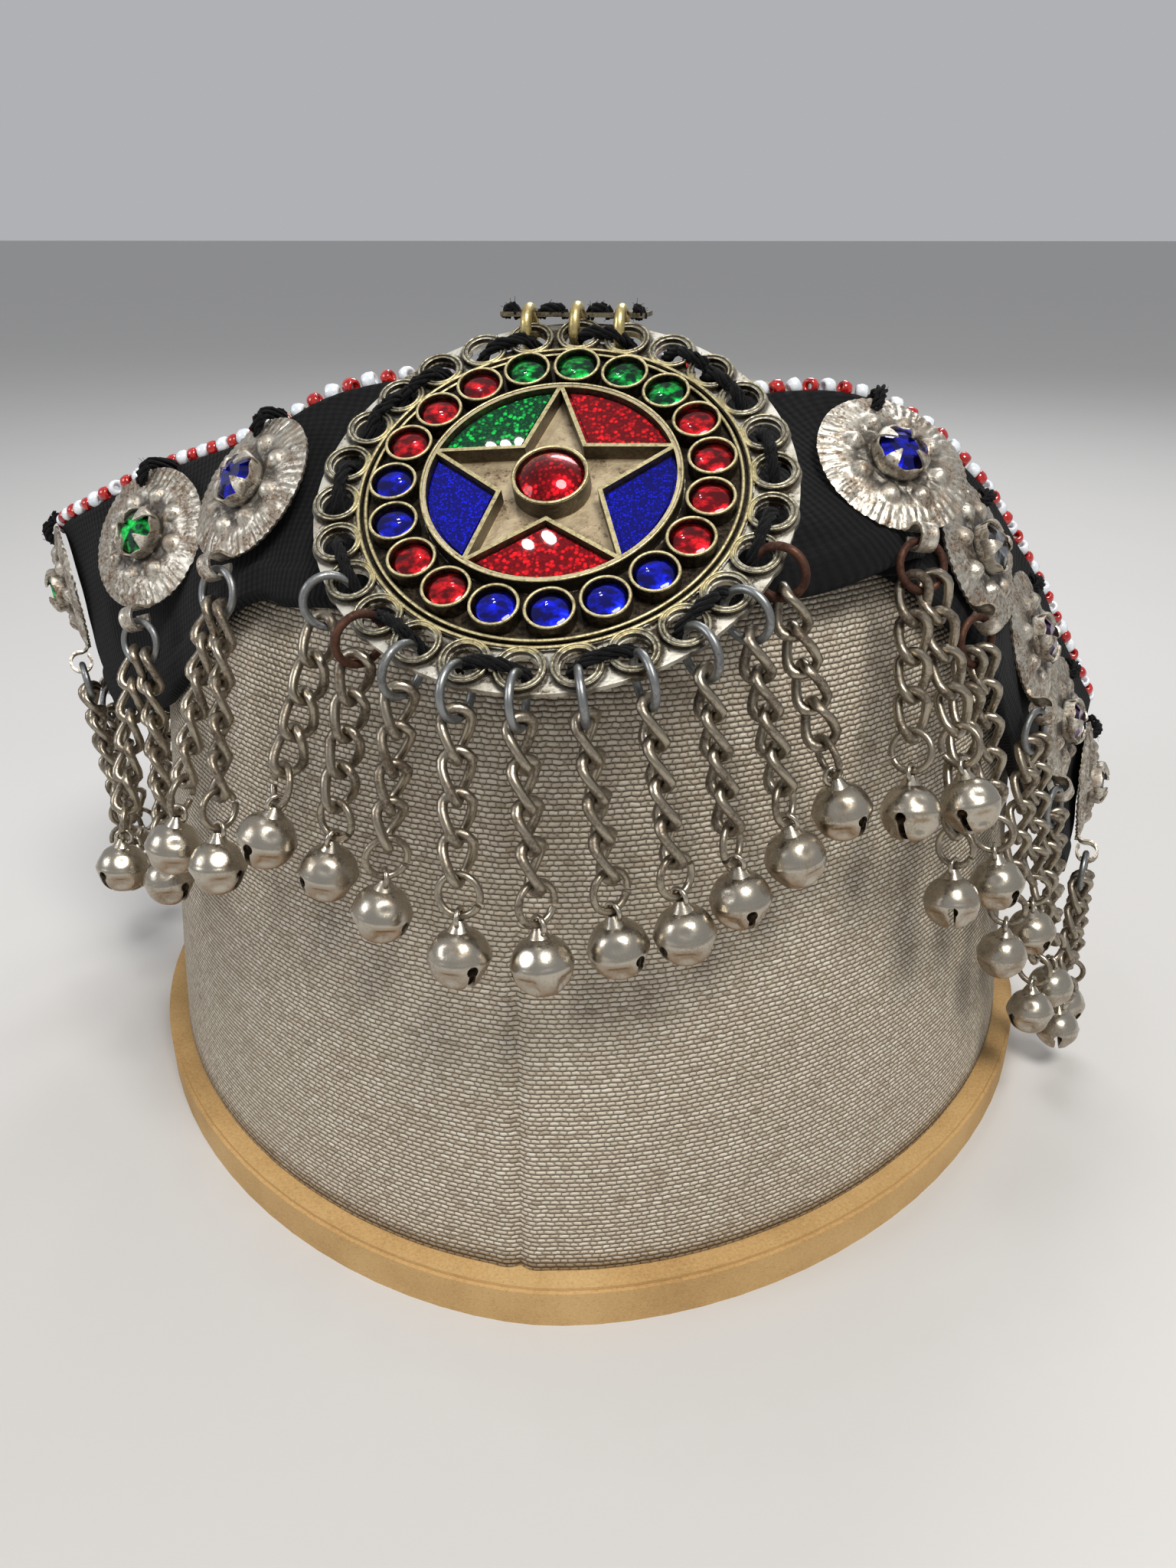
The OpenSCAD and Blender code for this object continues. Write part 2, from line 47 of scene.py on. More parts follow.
class Wire:
    def __init__(self, finish, socket):
        self.finish = finish
        self.socket = socket

    def maths(self, operation, other=None, swap=False):
        values = {0: self} if other is None else ({0: other, 1: self} if swap else {0: self, 1: other})
        return self.finish.add("ShaderNodeMath", {"operation": operation}, values)

    def __add__(self, other):
        return self.maths("ADD", other)

    def __sub__(self, other):
        return self.maths("SUBTRACT", other)

    def __rsub__(self, other):
        return self.maths("SUBTRACT", other, swap=True)

    def __mul__(self, other):
        return self.maths("MULTIPLY", other)

    def __truediv__(self, other):
        return self.maths("DIVIDE", other)

    def __pow__(self, other):
        return self.maths("POWER", other)

    __radd__ = __add__
    __rmul__ = __mul__

    def rise(self, low, high):
        return self.finish.add(
            "ShaderNodeMapRange",
            {"interpolation_type": "SMOOTHSTEP"},
            {"Value": self, "From Min": low, "From Max": high},
        )


class Finish:
    def __init__(self, name):
        self.material = bpy.data.materials.new(name)
        self.material.use_nodes = True
        self.tree = self.material.node_tree
        self.tree.nodes.clear()
        self.shader = self.tree.nodes.new("ShaderNodeBsdfPrincipled")
        out = self.tree.nodes.new("ShaderNodeOutputMaterial")
        self.tree.links.new(self.shader.outputs[0], out.inputs["Surface"])

    def put(self, socket, value):
        if isinstance(value, Wire):
            self.tree.links.new(value.socket, socket)
        elif isinstance(value, (tuple, list)):
            full = len(socket.default_value)
            socket.default_value = (tuple(value) + (1.0,))[:full] if full == 4 else tuple(value)
        else:
            socket.default_value = value

    def add(self, kind, settings, values, output=0):
        node = self.tree.nodes.new(kind)
        for key, value in settings.items():
            if key == "stops":
                while len(node.color_ramp.elements) > 1:
                    node.color_ramp.elements.remove(node.color_ramp.elements[-1])
                for place, (at, colour) in enumerate(value):
                    element = node.color_ramp.elements[0] if place == 0 else node.color_ramp.elements.new(at)
                    element.position = at
                    element.color = tuple(colour) + (1,)
            else:
                setattr(node, key, value)
        for key, value in values.items():
            self.put(node.inputs[key], value)
        return Wire(self, node.outputs[output])

    def place(self):
        # the shaded spot in millimetres
        spot = self.add("ShaderNodeTexCoord", {}, {}, "Object")
        return self.add("ShaderNodeVectorMath", {"operation": "SCALE"}, {0: spot, "Scale": 1 / mm})

    def carried(self, name):
        return self.add("ShaderNodeAttribute", {"attribute_name": name}, {}, "Vector")

    def split(self, vector):
        parts = self.tree.nodes.new("ShaderNodeSeparateXYZ")
        self.put(parts.inputs[0], vector)
        return [Wire(self, parts.outputs[k]) for k in range(3)]

    def join(self, x, y, z=0.0):
        return self.add("ShaderNodeCombineXYZ", {}, {0: x, 1: y, 2: z})

    def stretch(self, vector, scale):
        return self.add("ShaderNodeVectorMath", {"operation": "MULTIPLY"}, {0: vector, 1: scale})

    def cloud(self, vector, scale, detail=3.0, roughness=0.55):
        values = {"Vector": vector, "Scale": scale, "Detail": detail, "Roughness": roughness}
        return self.add("ShaderNodeTexNoise", {}, values)

    def cells(self, vector, scale, feature="F1", output="Distance"):
        values = {"Vector": vector, "Scale": scale}
        return self.add("ShaderNodeTexVoronoi", {"feature": feature}, values, output)

    def blend(self, factor, first, second):
        return self.add("ShaderNodeMix", {"data_type": "RGBA"}, {0: factor, 6: first, 7: second}, 2)

    def ramp(self, factor, stops):
        return self.add("ShaderNodeValToRGB", {"stops": stops}, {0: factor})

    def bump(self, height, distance, strength=1.0):
        return self.add(
            "ShaderNodeBump", {}, {"Height": height, "Distance": distance * mm, "Strength": strength}
        )

    def surface(self, **sockets):
        for name, value in sockets.items():
            spaced = "".join(" " + c if c.isupper() else c for c in name)
            words = spaced.strip().title().replace("I O R", "IOR")
            self.put(self.shader.inputs[words], value)
        return self.material


# finishes

def linenFinish():
    look = {"pair": 1.75, "row": 0.98, "gap": (0.13, 0.10, 0.068), "warp": (0.36, 0.30, 0.215)}
    f = Finish("naturalLinen")
    across, down = f.split(f.carried("weave"))[:2]
    waver = f.cloud(f.join(across * 0.5, down * 0.12), 1.0, 3.0)
    drift = f.cloud(f.join(across * 0.07, down * 0.5), 1.0, 3.0)
    rows = down / look["row"] + waver * 0.55
    row = rows.maths("FLOOR")
    stray = f.cloud(f.join(across * 0.45, row * 3.7), 1.0, 2.0)
    pairs = across / look["pair"] + (row * 0.5).maths("FRACT") + drift * 0.8 + stray * 1.3
    fx = (pairs.maths("FRACT") * math.pi).maths("SINE")
    fy = (rows.maths("FRACT") * math.pi).maths("SINE")
    weft = (fx ** 0.55) * (fy ** 0.75)
    warp = (1.0 - fx) ** 2.0 * (fy ** 0.5)
    each = f.cloud(f.join(pairs.maths("FLOOR") * 1.37, row * 2.11), 1.0, 1.0)
    slub = f.cloud(f.join(across * 0.11, row * 1.9), 1.0, 3.0, 0.65)
    fibre = f.cloud(f.join(across * 2.2, down * 6.5), 1.0, 3.0, 0.7)
    tone = f.ramp(
        each * 0.45 + slub * 0.35 + fibre * 0.2,
        [
            (0.32, (0.33, 0.265, 0.19)), (0.45, (0.57, 0.49, 0.385)),
            (0.57, (0.70, 0.63, 0.52)), (0.72, (0.84, 0.78, 0.67)),
        ],
    )
    # painted shade: the gaps between threads take the dark gap colour, the lower warp a darker thread colour,
    # and each weft float darkens toward its edges
    ground = f.blend(warp.rise(0.1, 0.5), look["gap"], look["warp"])
    shade = f.blend(weft.rise(0.22, 0.62), ground, tone)
    return f.surface(
        baseColor=shade,
        roughness=0.9,
        specularIORLevel=0.2,
        normal=f.bump(weft + fibre * 0.25 + slub * 0.3, 0.55, 1.0),
    )


def knitFinish():
    f = Finish("blackKnit")
    along, down = f.split(f.carried("weave"))[:2]
    ribs = (along * 4.6 + f.cloud(f.join(along * 0.1, down * 0.1), 1.0, 2.0) * 4.0).maths("SINE")
    rows = (down * 5.4).maths("SINE")
    lint = f.cloud(f.join(along, down), 2.2, 4.0, 0.7)
    broad = f.cloud(f.join(along, down), 0.09, 3.0)
    colour = f.ramp(
        lint * 0.55 + broad * 0.45,
        [(0.3, (0.002, 0.002, 0.0026)), (0.62, (0.0055, 0.0055, 0.0065)), (0.8, (0.016, 0.016, 0.018))],
    )
    return f.surface(
        baseColor=colour,
        roughness=0.95,
        specularIORLevel=0.12,
        sheenWeight=0.03,
        sheenRoughness=0.6,
        normal=f.bump(ribs * 0.5 + rows * 0.25 + lint * 1.5, 0.16, 0.8),
    )


def threadFinish():
    f = Finish("blackCottonThread")
    spot = f.place()
    fuzz = f.cloud(spot, 3.2, 4.0, 0.75)
    return f.surface(
        baseColor=f.ramp(fuzz, [(0.35, (0.002, 0.002, 0.0025)), (0.75, (0.012, 0.012, 0.013))]),
        roughness=0.97,
        specularIORLevel=0.1,
        sheenWeight=0.05,
        normal=f.bump(fuzz, 0.25, 0.9),
    )


def boardFinish():
    f = Finish("bareFibreboard")
    spot = f.place()
    fibre = f.cloud(f.stretch(spot, (1.6, 1.6, 4.2)), 1.0, 5.0, 0.75)
    broad = f.cloud(spot, 0.035, 3.0)
    speck = f.cells(spot, 0.9)
    colour = f.ramp(
        fibre * 0.5 + broad * 0.5,
        [(0.32, (0.30, 0.17, 0.055)), (0.5, (0.50, 0.31, 0.12)), (0.68, (0.62, 0.42, 0.19))],
    )
    colour = f.blend(speck.rise(0.28, 0.05) * 0.35, colour, (0.26, 0.14, 0.05))
    return f.surface(baseColor=colour, roughness=0.82, normal=f.bump(fibre, 0.22, 0.7))


def wireFinish(name, light, dark, wear, smooth, rough, warm=0.0):
    # the last argument gives the share of a painted warm tan reflection, as of brown surroundings below, on
    # what faces down
    f = Finish(name)
    spot = f.place()
    broad = f.cloud(spot, 0.22, 4.0, 0.6)
    fine = f.cloud(spot, 1.9, 4.0, 0.7)
    grime = (broad * 0.6 + fine * 0.4).rise(wear[0], wear[1])
    colour = f.blend(grime, light, dark)
    if warm:
        lean = f.split(f.add("ShaderNodeNewGeometry", {}, {}, "Normal"))[2]
        colour = f.blend(lean.rise(0.05, -0.75) * warm, colour, (0.27, 0.165, 0.085))
    return f.surface(
        baseColor=colour,
        metallic=1.0 - grime * 0.35,
        roughness=smooth + grime * (rough - smooth),
        normal=f.bump(fine, 0.05, 0.6),
    )


def discFinish():
    f = Finish("embossedSheet")
    local = f.carried("local")
    x, y, depth = f.split(local)
    spot = f.place()
    reach = (x * x + y * y).maths("SQRT")
    turn = y.maths("ARCTAN2", x)
    flutes = (turn * 46.0 + f.cloud(local, 0.4, 2.0) * 3.0).maths("SINE") * reach.rise(9.8, 11.2)
    scratch = f.cloud(f.join(turn * 9.0, reach * 0.35), 2.4, 4.0, 0.7)
    pits = f.cells(spot, 1.1).rise(0.22, 0.06) * f.cloud(spot, 0.5, 3.0).rise(0.46, 0.6)
    stain = f.cloud(spot, 0.26, 5.0, 0.72).rise(0.45, 0.57)
    speckle = f.cloud(spot, 1.5, 4.0, 0.7).rise(0.49, 0.58) * f.cloud(spot, 0.12, 2.0).rise(0.40, 0.55)
    hollow = reach.rise(10.4, 7.4) * depth.rise(0.9, 0.3) * f.cloud(spot, 0.7, 3.0).rise(0.28, 0.5)
    silver = f.blend(scratch.rise(0.35, 0.7), (0.70, 0.66, 0.575), (0.42, 0.38, 0.31))
    brown = f.blend(stain * 0.62 + speckle * 0.55, silver, (0.17, 0.115, 0.075))
    dark = f.blend(hollow * 0.85, brown, (0.055, 0.05, 0.045))
    colour = f.blend(pits * 0.85, dark, (0.045, 0.022, 0.012))
    return f.surface(
        baseColor=colour,
        metallic=0.96 - pits * 0.6 - stain * 0.15,
        roughness=0.34 + stain * 0.18 + pits * 0.25 + scratch * 0.08,
        normal=f.bump(flutes * 0.5 + scratch * 0.6 - pits * 0.8, 0.18, 0.9),
    )


def medallionFinish(centre, normal, across):
    # worn silver plate, tan star floor, dark bronze-brown patina that also serves as painted shade on the
    # walls' sides, in the crevices by the loops and between the bezels, brass crests and silvery loops
    f = Finish("wornWhiteMetal")
    spot = f.place()
    up = normal.cross(across)

    def along(axis):
        dot = f.add("ShaderNodeVectorMath", {"operation": "DOT_PRODUCT"}, {0: spot, 1: tuple(axis)}, "Value")
        return dot - centre.dot(axis)

    height, x, y = along(normal), along(across), along(up)
    face = f.add("ShaderNodeNewGeometry", {}, {}, "True Normal")
    level = f.add("ShaderNodeVectorMath", {"operation": "DOT_PRODUCT"}, {0: face, 1: tuple(normal)}, "Value")
    reach = (x * x + y * y).maths("SQRT")
    fine = f.cloud(spot, 1.3, 5.0, 0.7)
    broad = f.cloud(spot, 0.2, 4.0, 0.6)
    outer = reach.rise(32.5, 33.2)
    # distance from the middle of the nearest loop
    step = 2 * math.pi / medallion["loops"]
    share = y.maths("ARCTAN2", x) / step - math.radians(medallion["loopTurn"]) / step + 0.5
    turn = (share.maths("FRACT") - 0.5) * step
    aside = reach * turn.maths("SINE")
    off = reach * turn.maths("COSINE") - medallion["loopCircle"]
    far = (aside * aside + off * off).maths("SQRT")
    # dark lines in the crevices just inside and outside each loop's wires: painted shade along with patina
    grooveShadeAndPatina = outer * (far.rise(3.26, 3.34) * far.rise(3.6, 3.52) + far.rise(3.94, 4.02) * far.rise(4.9, 4.3))
    silver = f.blend(broad.rise(0.42, 0.72), (0.76, 0.73, 0.64), (0.46, 0.40, 0.30))
    tan = f.blend(broad.rise(0.35, 0.7), (0.66, 0.54, 0.35), (0.38, 0.28, 0.17))
    patinaAndShade = f.blend(fine.rise(0.4, 0.68), (0.010, 0.0075, 0.005), (0.075, 0.052, 0.028))
    inside = reach.rise(21.6, 20.4)
    ground = f.blend(inside, silver, tan)
    # the floor between the bezels is painted darker, as shade between the raised parts, on top of the patchy
    # patina
    ditchShade = reach.rise(21.0, 21.8) * reach.rise(32.8, 31.6)
    loops = outer * reach.rise(38.6, 37.6)
    shadeAndPatinaMask = (fine * 0.55 + broad * 0.45 + ditchShade * 0.3 + loops * 0.08).rise(0.52, 0.64)
    floor = f.blend(shadeAndPatinaMask, ground, patinaAndShade)
    # painted shade: the steep sides of the raised walls and wires are darkened by how they face, so their
    # tops stand out
    wall = height.rise(1.0, 1.25) * level.rise(0.75, 0.35)
    sides = f.blend(wall * 0.93, floor, patinaAndShade)
    brass = f.blend(fine.rise(0.42, 0.7), (0.66, 0.57, 0.31), (0.26, 0.21, 0.11))
    pale = f.blend(fine.rise(0.4, 0.6), (0.56, 0.52, 0.35), (0.17, 0.145, 0.10))
    shut = reach.rise(20.45, 20.6) * reach.rise(20.95, 20.8)
    crest = (height - outer * 0.12).rise(1.86, 1.96) * level.rise(0.3, 0.65) * (1.0 - shut * 0.85)
    colour = f.blend(crest, sides, f.blend(outer, brass, pale))
    colour = f.blend(grooveShadeAndPatina * (fine * 0.6 + 0.5), colour, patinaAndShade)
    return f.surface(
        baseColor=colour,
        metallic=0.97 - shadeAndPatinaMask * 0.3 - inside * (1.0 - crest) * 0.35,
        roughness=0.24 + fine * 0.28,
        normal=f.bump(fine + broad, 0.14, 0.8),
    )


def foilGlassFinish(name, deep, bright):
    # coloured glass over crinkled foil, under a clear glossy coat
    f = Finish(name)
    spot = f.place()
    crinkle = f.cloud(f.stretch(spot, (1.0, 1.6, 1.0)), 0.45, 2.0, 0.5)
    crease = f.cells(spot, 0.7, "DISTANCE_TO_EDGE").rise(0.0, 0.12)
    return f.surface(
        baseColor=f.blend(crinkle.rise(0.42, 0.66) * (crease * 0.5 + 0.5), deep, bright),
        metallic=1.0,
        roughness=0.3,
        coatWeight=1.0,
        coatRoughness=0.02,
        coatIOR=1.38,
        normal=f.bump(crinkle, 0.3, 0.4),
    )


def glitterGlassFinish(name, deep, bright, scale, share):
    # coloured glass over round glitter flakes, some lit and some dark
    f = Finish(name)
    spot = f.place()
    far = f.cells(spot, scale)
    pick, turn, glow = f.split(f.cells(spot, scale, "F1", "Color"))
    patch = f.cloud(spot, 0.16, 2.0)
    lit = (pick + patch * 0.5).rise(1.12 - share, 1.3 - share) * far.rise(0.62, 0.3)
    dust = f.cloud(spot, scale * 2.2, 2.0, 0.6).rise(0.5, 0.75) * 0.22
    colour = f.blend(lit * (glow * 0.7 + 0.3) + dust, deep, bright)
    return f.surface(
        baseColor=colour,
        metallic=1.0,
        roughness=0.3 + turn * 0.1,
        coatWeight=1.0,
        coatRoughness=0.015,
        coatIOR=1.32,
        normal=f.bump(far, 0.05, 0.12),
    )


def beadFinish(name, colour, shade, rough, through):
    f = Finish(name)
    fine = f.cloud(f.place(), 0.9, 3.0)
    return f.surface(
        baseColor=f.blend(fine.rise(0.3, 0.7), colour, shade),
        roughness=rough,
        coatWeight=0.7,
        coatRoughness=0.08,
        subsurfaceWeight=through,
        subsurfaceScale=0.002,
    )


# the stand's and the band's own lines, in millimetres, as in the part's source

footprintShift = Vector((3.05, 5.33, 0))

stand = {
    "width": 220.0, "front": 119.0, "back": 90.0, "widest": 14.5, "frontPower": 1.8, "backPower": 2.2,
    "backInset": 0.8,
    "profile": [
        (0, 9.2), (3, 45), (6.5, 85), (10, 112), (13, 124), (17, 133.5), (23, 141), (32, 148.5), (45, 154),
        (60, 157), (78, 158.5), (95, 159),
    ],
}

band = {
    # middle x, y, z, facing azimuth and elevation, reach up and down, fold of the low edge
    "stations": [
        (-116, 72, 72, -98, 2, 18, 22, 3),
        (-121, 47, 84, -97, 0, 18, 22, 3),
        (-123.5, 20, 98, -86, -4, 17, 23, 4),
        (-117, -9, 113, -58, -4, 16, 25, 4),
        (-103, -26, 122, -38, 12, 15.5, 30, 10),
        (-82, -38, 132.5, -28, 30, 16.5, 32, 20),
        (-54.8, -55.6, 147.3, -43, 39, 13, 24, 16),
        (-37, -62, 151, -26, 51, 22.5, 26, 26),
        (2, -75.5, 150, -5, 54, 34, 22, 30),
        (36, -68, 150, 8, 54, 30, 20, 38),
        (56.2, -46.4, 151.6, 28, 48, 16.5, 23, 8),
        (77.2, -43.6, 133.6, 61, 28, 22, 19, 12),
        (93.5, -27.5, 113, 66, 20, 22, 22, 36),
        (106.5, -13, 90, 63, 12, 22, 22, 25),
        (119.5, 0.5, 69.5, 70, 5, 22, 22, 12),
        (123.5, 21, 57, 80, 0, 22, 22, 5),
    ],
    "thick": 2.4, "foldFrom": 8.0, "stepsPerStation": 18, "stepsAcross": 44,
    "hem": 0.55, "hemWide": 6.5, "crease": 0.35,
}

medallion = {
    "station": 8, "rise": 0.7, "loops": 26, "loopTurn": 105, "loopCircle": 35.6, "loopHole": 2.7, "rim": 40,
    "stones": 19, "stoneTurn": 108, "stoneCircle": 26.05, "bezelTop": 3.8,
    "pairs": [-1, 1, 3, 6, 8, 10, 12, 14, 16, 18, 20, 22],
}

crown = {"y": 42.0, "z": 1.0, "lie": -37.0, "wound": [(-14.6, -12.2), (-8.2, -3.8), (0.6, 4.2), (8.6, 10.0)]}

discs = {
    "stations": [1, 2, 3, 5, 6, 10, 11, 12, 13, 14],
    "lift": [3.4, 3.4, 4.2, 8.1, 5.2, 8.2, 3.8, 3.4, 3.8, 3.4],
    "slide": [(0, 0), (0, 0), (0, -2), (2, 1.5), (3, 3), (0, 5), (-1.5, 0), (0, 0), (0, 0), (0, 0)],
    "lean": [2, 0, -5, 11, 16, 22, 11, 5, 6, 2],
    "links": [5, 5, 5, 5, 5, 4, 5, 5, 5, 4],
    "radius": 14.5, "flat": 9.5, "drop": 1.2, "eyeReach": 17.5, "eye": 2.6, "eyeToRing": 4.75,
    "part": 26, "splay": 6, "slack": 0.7, "rusty": [6, 7],
}

fringe = {
    "firstLoop": 18, "links": 4, "ringHang": 1.4,
    "lean": [(-18, 8), (-12, 0), (-8, 2), (0, 10), (5, 8), (8, 2), (10, 3), (11, 0), (14, -1), (18, -1)],
    "rusty": [2, 10],
}


def signedPower(value, power):
    return math.copysign(abs(value) ** power, value)


def outlinePoint(angle, inset):
    power = stand["frontPower"] if math.sin(angle) < 0 else stand["backPower"]
    reach = stand["front"] - inset if math.sin(angle) < 0 else stand["back"] - stand["backInset"] * inset
    return Vector((
        footprintShift.x + (stand["width"] / 2 - inset) * signedPower(math.cos(angle), 2 / power),
        footprintShift.y + stand["widest"] + reach * signedPower(math.sin(angle), 2 / power),
        0,
    ))


def smoothRow(rows, u):
    k = max(0, min(len(rows) - 2, int(u)))
    t = u - k
    a, b, c, d = (rows[max(0, min(len(rows) - 1, k + j))] for j in (-1, 0, 1, 2))
    return [
        0.5 * (2 * q + (r - p) * t + (2 * p - 5 * q + 4 * r - s) * t * t + (3 * q - p - 3 * r + s) * t ** 3)
        for p, q, r, s in zip(a, b, c, d)
    ]


def facing(azimuth, elevation):
    a, e = math.radians(azimuth), math.radians(elevation)
    return Vector((math.sin(a) * math.cos(e), -math.cos(a) * math.cos(e), math.sin(e)))


def upSlope(azimuth, elevation):
    a, e = math.radians(azimuth), math.radians(elevation)
    return Vector((-math.sin(a) * math.sin(e), math.cos(a) * math.sin(e), math.cos(e)))


def bandPoint(u):
    return footprintShift + Vector(smoothRow(band["stations"], u)[:3])


def bandFrame(u):
    row = smoothRow(band["stations"], u)
    normal = facing(row[3], row[4])
    last = len(band["stations"]) - 1
    along = bandPoint(min(u + 0.05, last)) - bandPoint(max(u - 0.05, 0))
    along = (along - normal * normal.dot(along)).normalized()
    return bandPoint(u), along, along.cross(normal), normal


def clothPoint(u, s, off):
    row = smoothRow(band["stations"], u)
    point, along, down, normal = bandFrame(u)
    bend = (row[6] - band["foldFrom"]) / math.radians(max(row[7], 1))
    a = max(0.0, s - band["foldFrom"]) / bend
    flat = min(s, band["foldFrom"])
    fall = flat + (bend + off) * math.sin(a)
    return point + down * fall + normal * (off * math.cos(a) - bend * (1 - math.cos(a)))


def placed(at, x, z):
    y = z.cross(x)
    return Matrix((
        (x.x, y.x, z.x, at.x), (x.y, y.y, z.y, at.y), (x.z, y.z, z.z, at.z), (0, 0, 0, 1),
    ))


medallionRow = band["stations"][medallion["station"]]
medallionNormal = facing(medallionRow[3], medallionRow[4])
medallionUp = upSlope(medallionRow[3], medallionRow[4])
medallionAcross = medallionUp.cross(medallionNormal)
medallionCentre = bandPoint(medallion["station"]) + medallionNormal * (band["thick"] / 2 + medallion["rise"])
onMedallion = placed(medallionCentre, medallionAcross, medallionNormal)


def discCentre(i):
    point, along, down, normal = bandFrame(discs["stations"][i])
    aside, below = discs["slide"][i]
    return point + normal * discs["lift"][i] + along * aside + down * below


def discFrame(i):
    along, normal = bandFrame(discs["stations"][i])[1::2]
    return placed(discCentre(i), along, normal)


def polar(angle, reach, height=0.0):
    return Vector((reach * math.cos(math.radians(angle)), reach * math.sin(math.radians(angle)), height))


def turned(degrees, axis="Z"):
    return Matrix.Rotation(math.radians(degrees), 4, axis)


def tipped(most, axis):
    # a small random tilt, in radians
    return Matrix.Rotation(random.uniform(-most, most), 4, axis)


def lifted(z):
    return Matrix.Translation((0, 0, z))


def neighbours(points, k):
    return points[max(0, k - 1)], points[min(len(points) - 1, k + 1)]


# mesh helpers

def sweep(bm, rings, caps=True, tag=None, marks=None):
    # a ring of points is laid, extruded and moved on from one station to the next
    start = bmesh.ops.create_circle(bm, segments=len(rings[0]), radius=1, cap_ends=False)["verts"]
    firstEdges = edges = list({e for v in start for e in v.link_edges})
    layer = bm.verts.layers.float_vector.get(tag) if tag else None
    order = {v: k for k, v in enumerate(start)}
    for r, ring in enumerate(rings):
        if r:
            made = bmesh.ops.extrude_edge_only(bm, edges=edges)["geom"]
            edges = [g for g in made if isinstance(g, bmesh.types.BMEdge)]
            nextOrder = {}
            for v in (g for g in made if isinstance(g, bmesh.types.BMVert)):
                for e in v.link_edges:
                    if e.other_vert(v) in order:
                        nextOrder[v] = order[e.other_vert(v)]
            order = nextOrder
        for v, k in order.items():
            v.co = ring[k]
            if layer:
                v[layer] = marks[r][k]
    if caps:
        for ends in (firstEdges, edges):
            bmesh.ops.contextual_create(bm, geom=ends)


def tube(bm, path, radius, sides):
    rings = []
    side = (path[1] - path[0]).normalized().orthogonal().normalized()
    for k, spot in enumerate(path):
        a, b = neighbours(path, k)
        tangent = (b - a).normalized()
        side = (side - tangent * side.dot(tangent)).normalized()
        other = tangent.cross(side)
        rings.append([
            spot + (side * math.cos(w) + other * math.sin(w)) * radius
            for w in (2 * math.pi * j / sides for j in range(sides))
        ])
    sweep(bm, rings)


def ringOf(midRadius, wire, steps, sides, opening=0.0):
    # round wire ring in the x-z plane, with an optional opening in degrees at its foot
    bm = bmesh.new()
    section = bmesh.ops.create_circle(bm, segments=sides, radius=wire / 2, cap_ends=False)["verts"]
    bmesh.ops.translate(bm, verts=section, vec=(midRadius, 0, 0))
    start = -90 + opening / 2
    bmesh.ops.rotate(bm, verts=section, cent=(0, 0, 0), matrix=Matrix.Rotation(math.radians(-start), 3, "Y"))
    edges = list({e for v in section for e in v.link_edges})
    full = opening <= 0
    bmesh.ops.spin(
        bm, geom=section + edges, cent=(0, 0, 0), axis=(0, -1, 0), angle=math.radians(360 - opening),
        steps=steps, use_merge=full, use_duplicate=False,
    )
    if not full:
        bmesh.ops.holes_fill(bm, edges=[e for e in bm.edges if e.is_boundary], sides=sides)
    else:
        bmesh.ops.remove_doubles(bm, verts=bm.verts, dist=1e-4)
    bmesh.ops.recalc_face_normals(bm, faces=bm.faces)
    return bm


def asMesh(bm, name):
    mesh = bpy.data.meshes.new(name)
    bm.to_mesh(mesh)
    bm.free()
    return mesh


def addCopy(bm, template, matrix, material=0):
    before = len(bm.verts)
    faceStart = len(bm.faces)
    bm.from_mesh(template)
    bm.verts.ensure_lookup_table()
    bm.faces.ensure_lookup_table()
    bmesh.ops.transform(bm, matrix=matrix, verts=bm.verts[before:])
    for face in bm.faces[faceStart:]:
        face.material_index = material


def addToScene(name, data):
    thing = bpy.data.objects.new(name, data)
    bpy.context.scene.collection.objects.link(thing)
    return thing


def finishPiece(name, bm, finishes, nodes=(), sharp=None):
    bmesh.ops.scale(bm, vec=(mm, mm, mm), verts=bm.verts)
    mesh = asMesh(bm, name)
    for finish in finishes:
        mesh.materials.append(finish)
    piece = addToScene(name, mesh)
    mesh.polygons.foreach_set("use_smooth", [True] * len(mesh.polygons))
    if sharp is not None:
        mesh.set_sharp_from_angle(angle=math.radians(sharp))
    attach(piece, "root")
    if nodes:
        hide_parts(*nodes)
    return piece


def dress(node, finish):
    # a node that is seen with its CAD mesh takes one finish
    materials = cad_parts[node].data.materials
    materials.clear()
    materials.append(finish)


def wobble(spot, scale, seed):
    return noise.noise(spot * scale + Vector((seed * 7.3, seed * 3.1, seed * 5.7)))


# camera

view = {"from": (24.4, -269.4, 190.0), "turn": 5.0, "dip": 25.0, "lens": 27.07, "sensor": 36.0}
camera = addToScene("photoCamera", bpy.data.cameras.new("photoCamera"))
camera.data.sensor_fit = "VERTICAL"
camera.data.sensor_height = view["sensor"]
camera.data.lens = view["lens"]
camera.data.clip_start = 0.01
camera.location = (Vector(view["from"]) + footprintShift) * mm
camera.rotation_euler = (math.radians(90 - view["dip"]), 0, math.radians(view["turn"]))
bpy.context.scene.camera = camera
print("camera set")

# finishes in use

linen = linenFinish()
knit = knitFinish()
thread = threadFinish()
board = boardFinish()
silverWire = wireFinish("wornNickel", (0.36, 0.315, 0.245), (0.09, 0.064, 0.042), (0.44, 0.64), 0.28, 0.5)
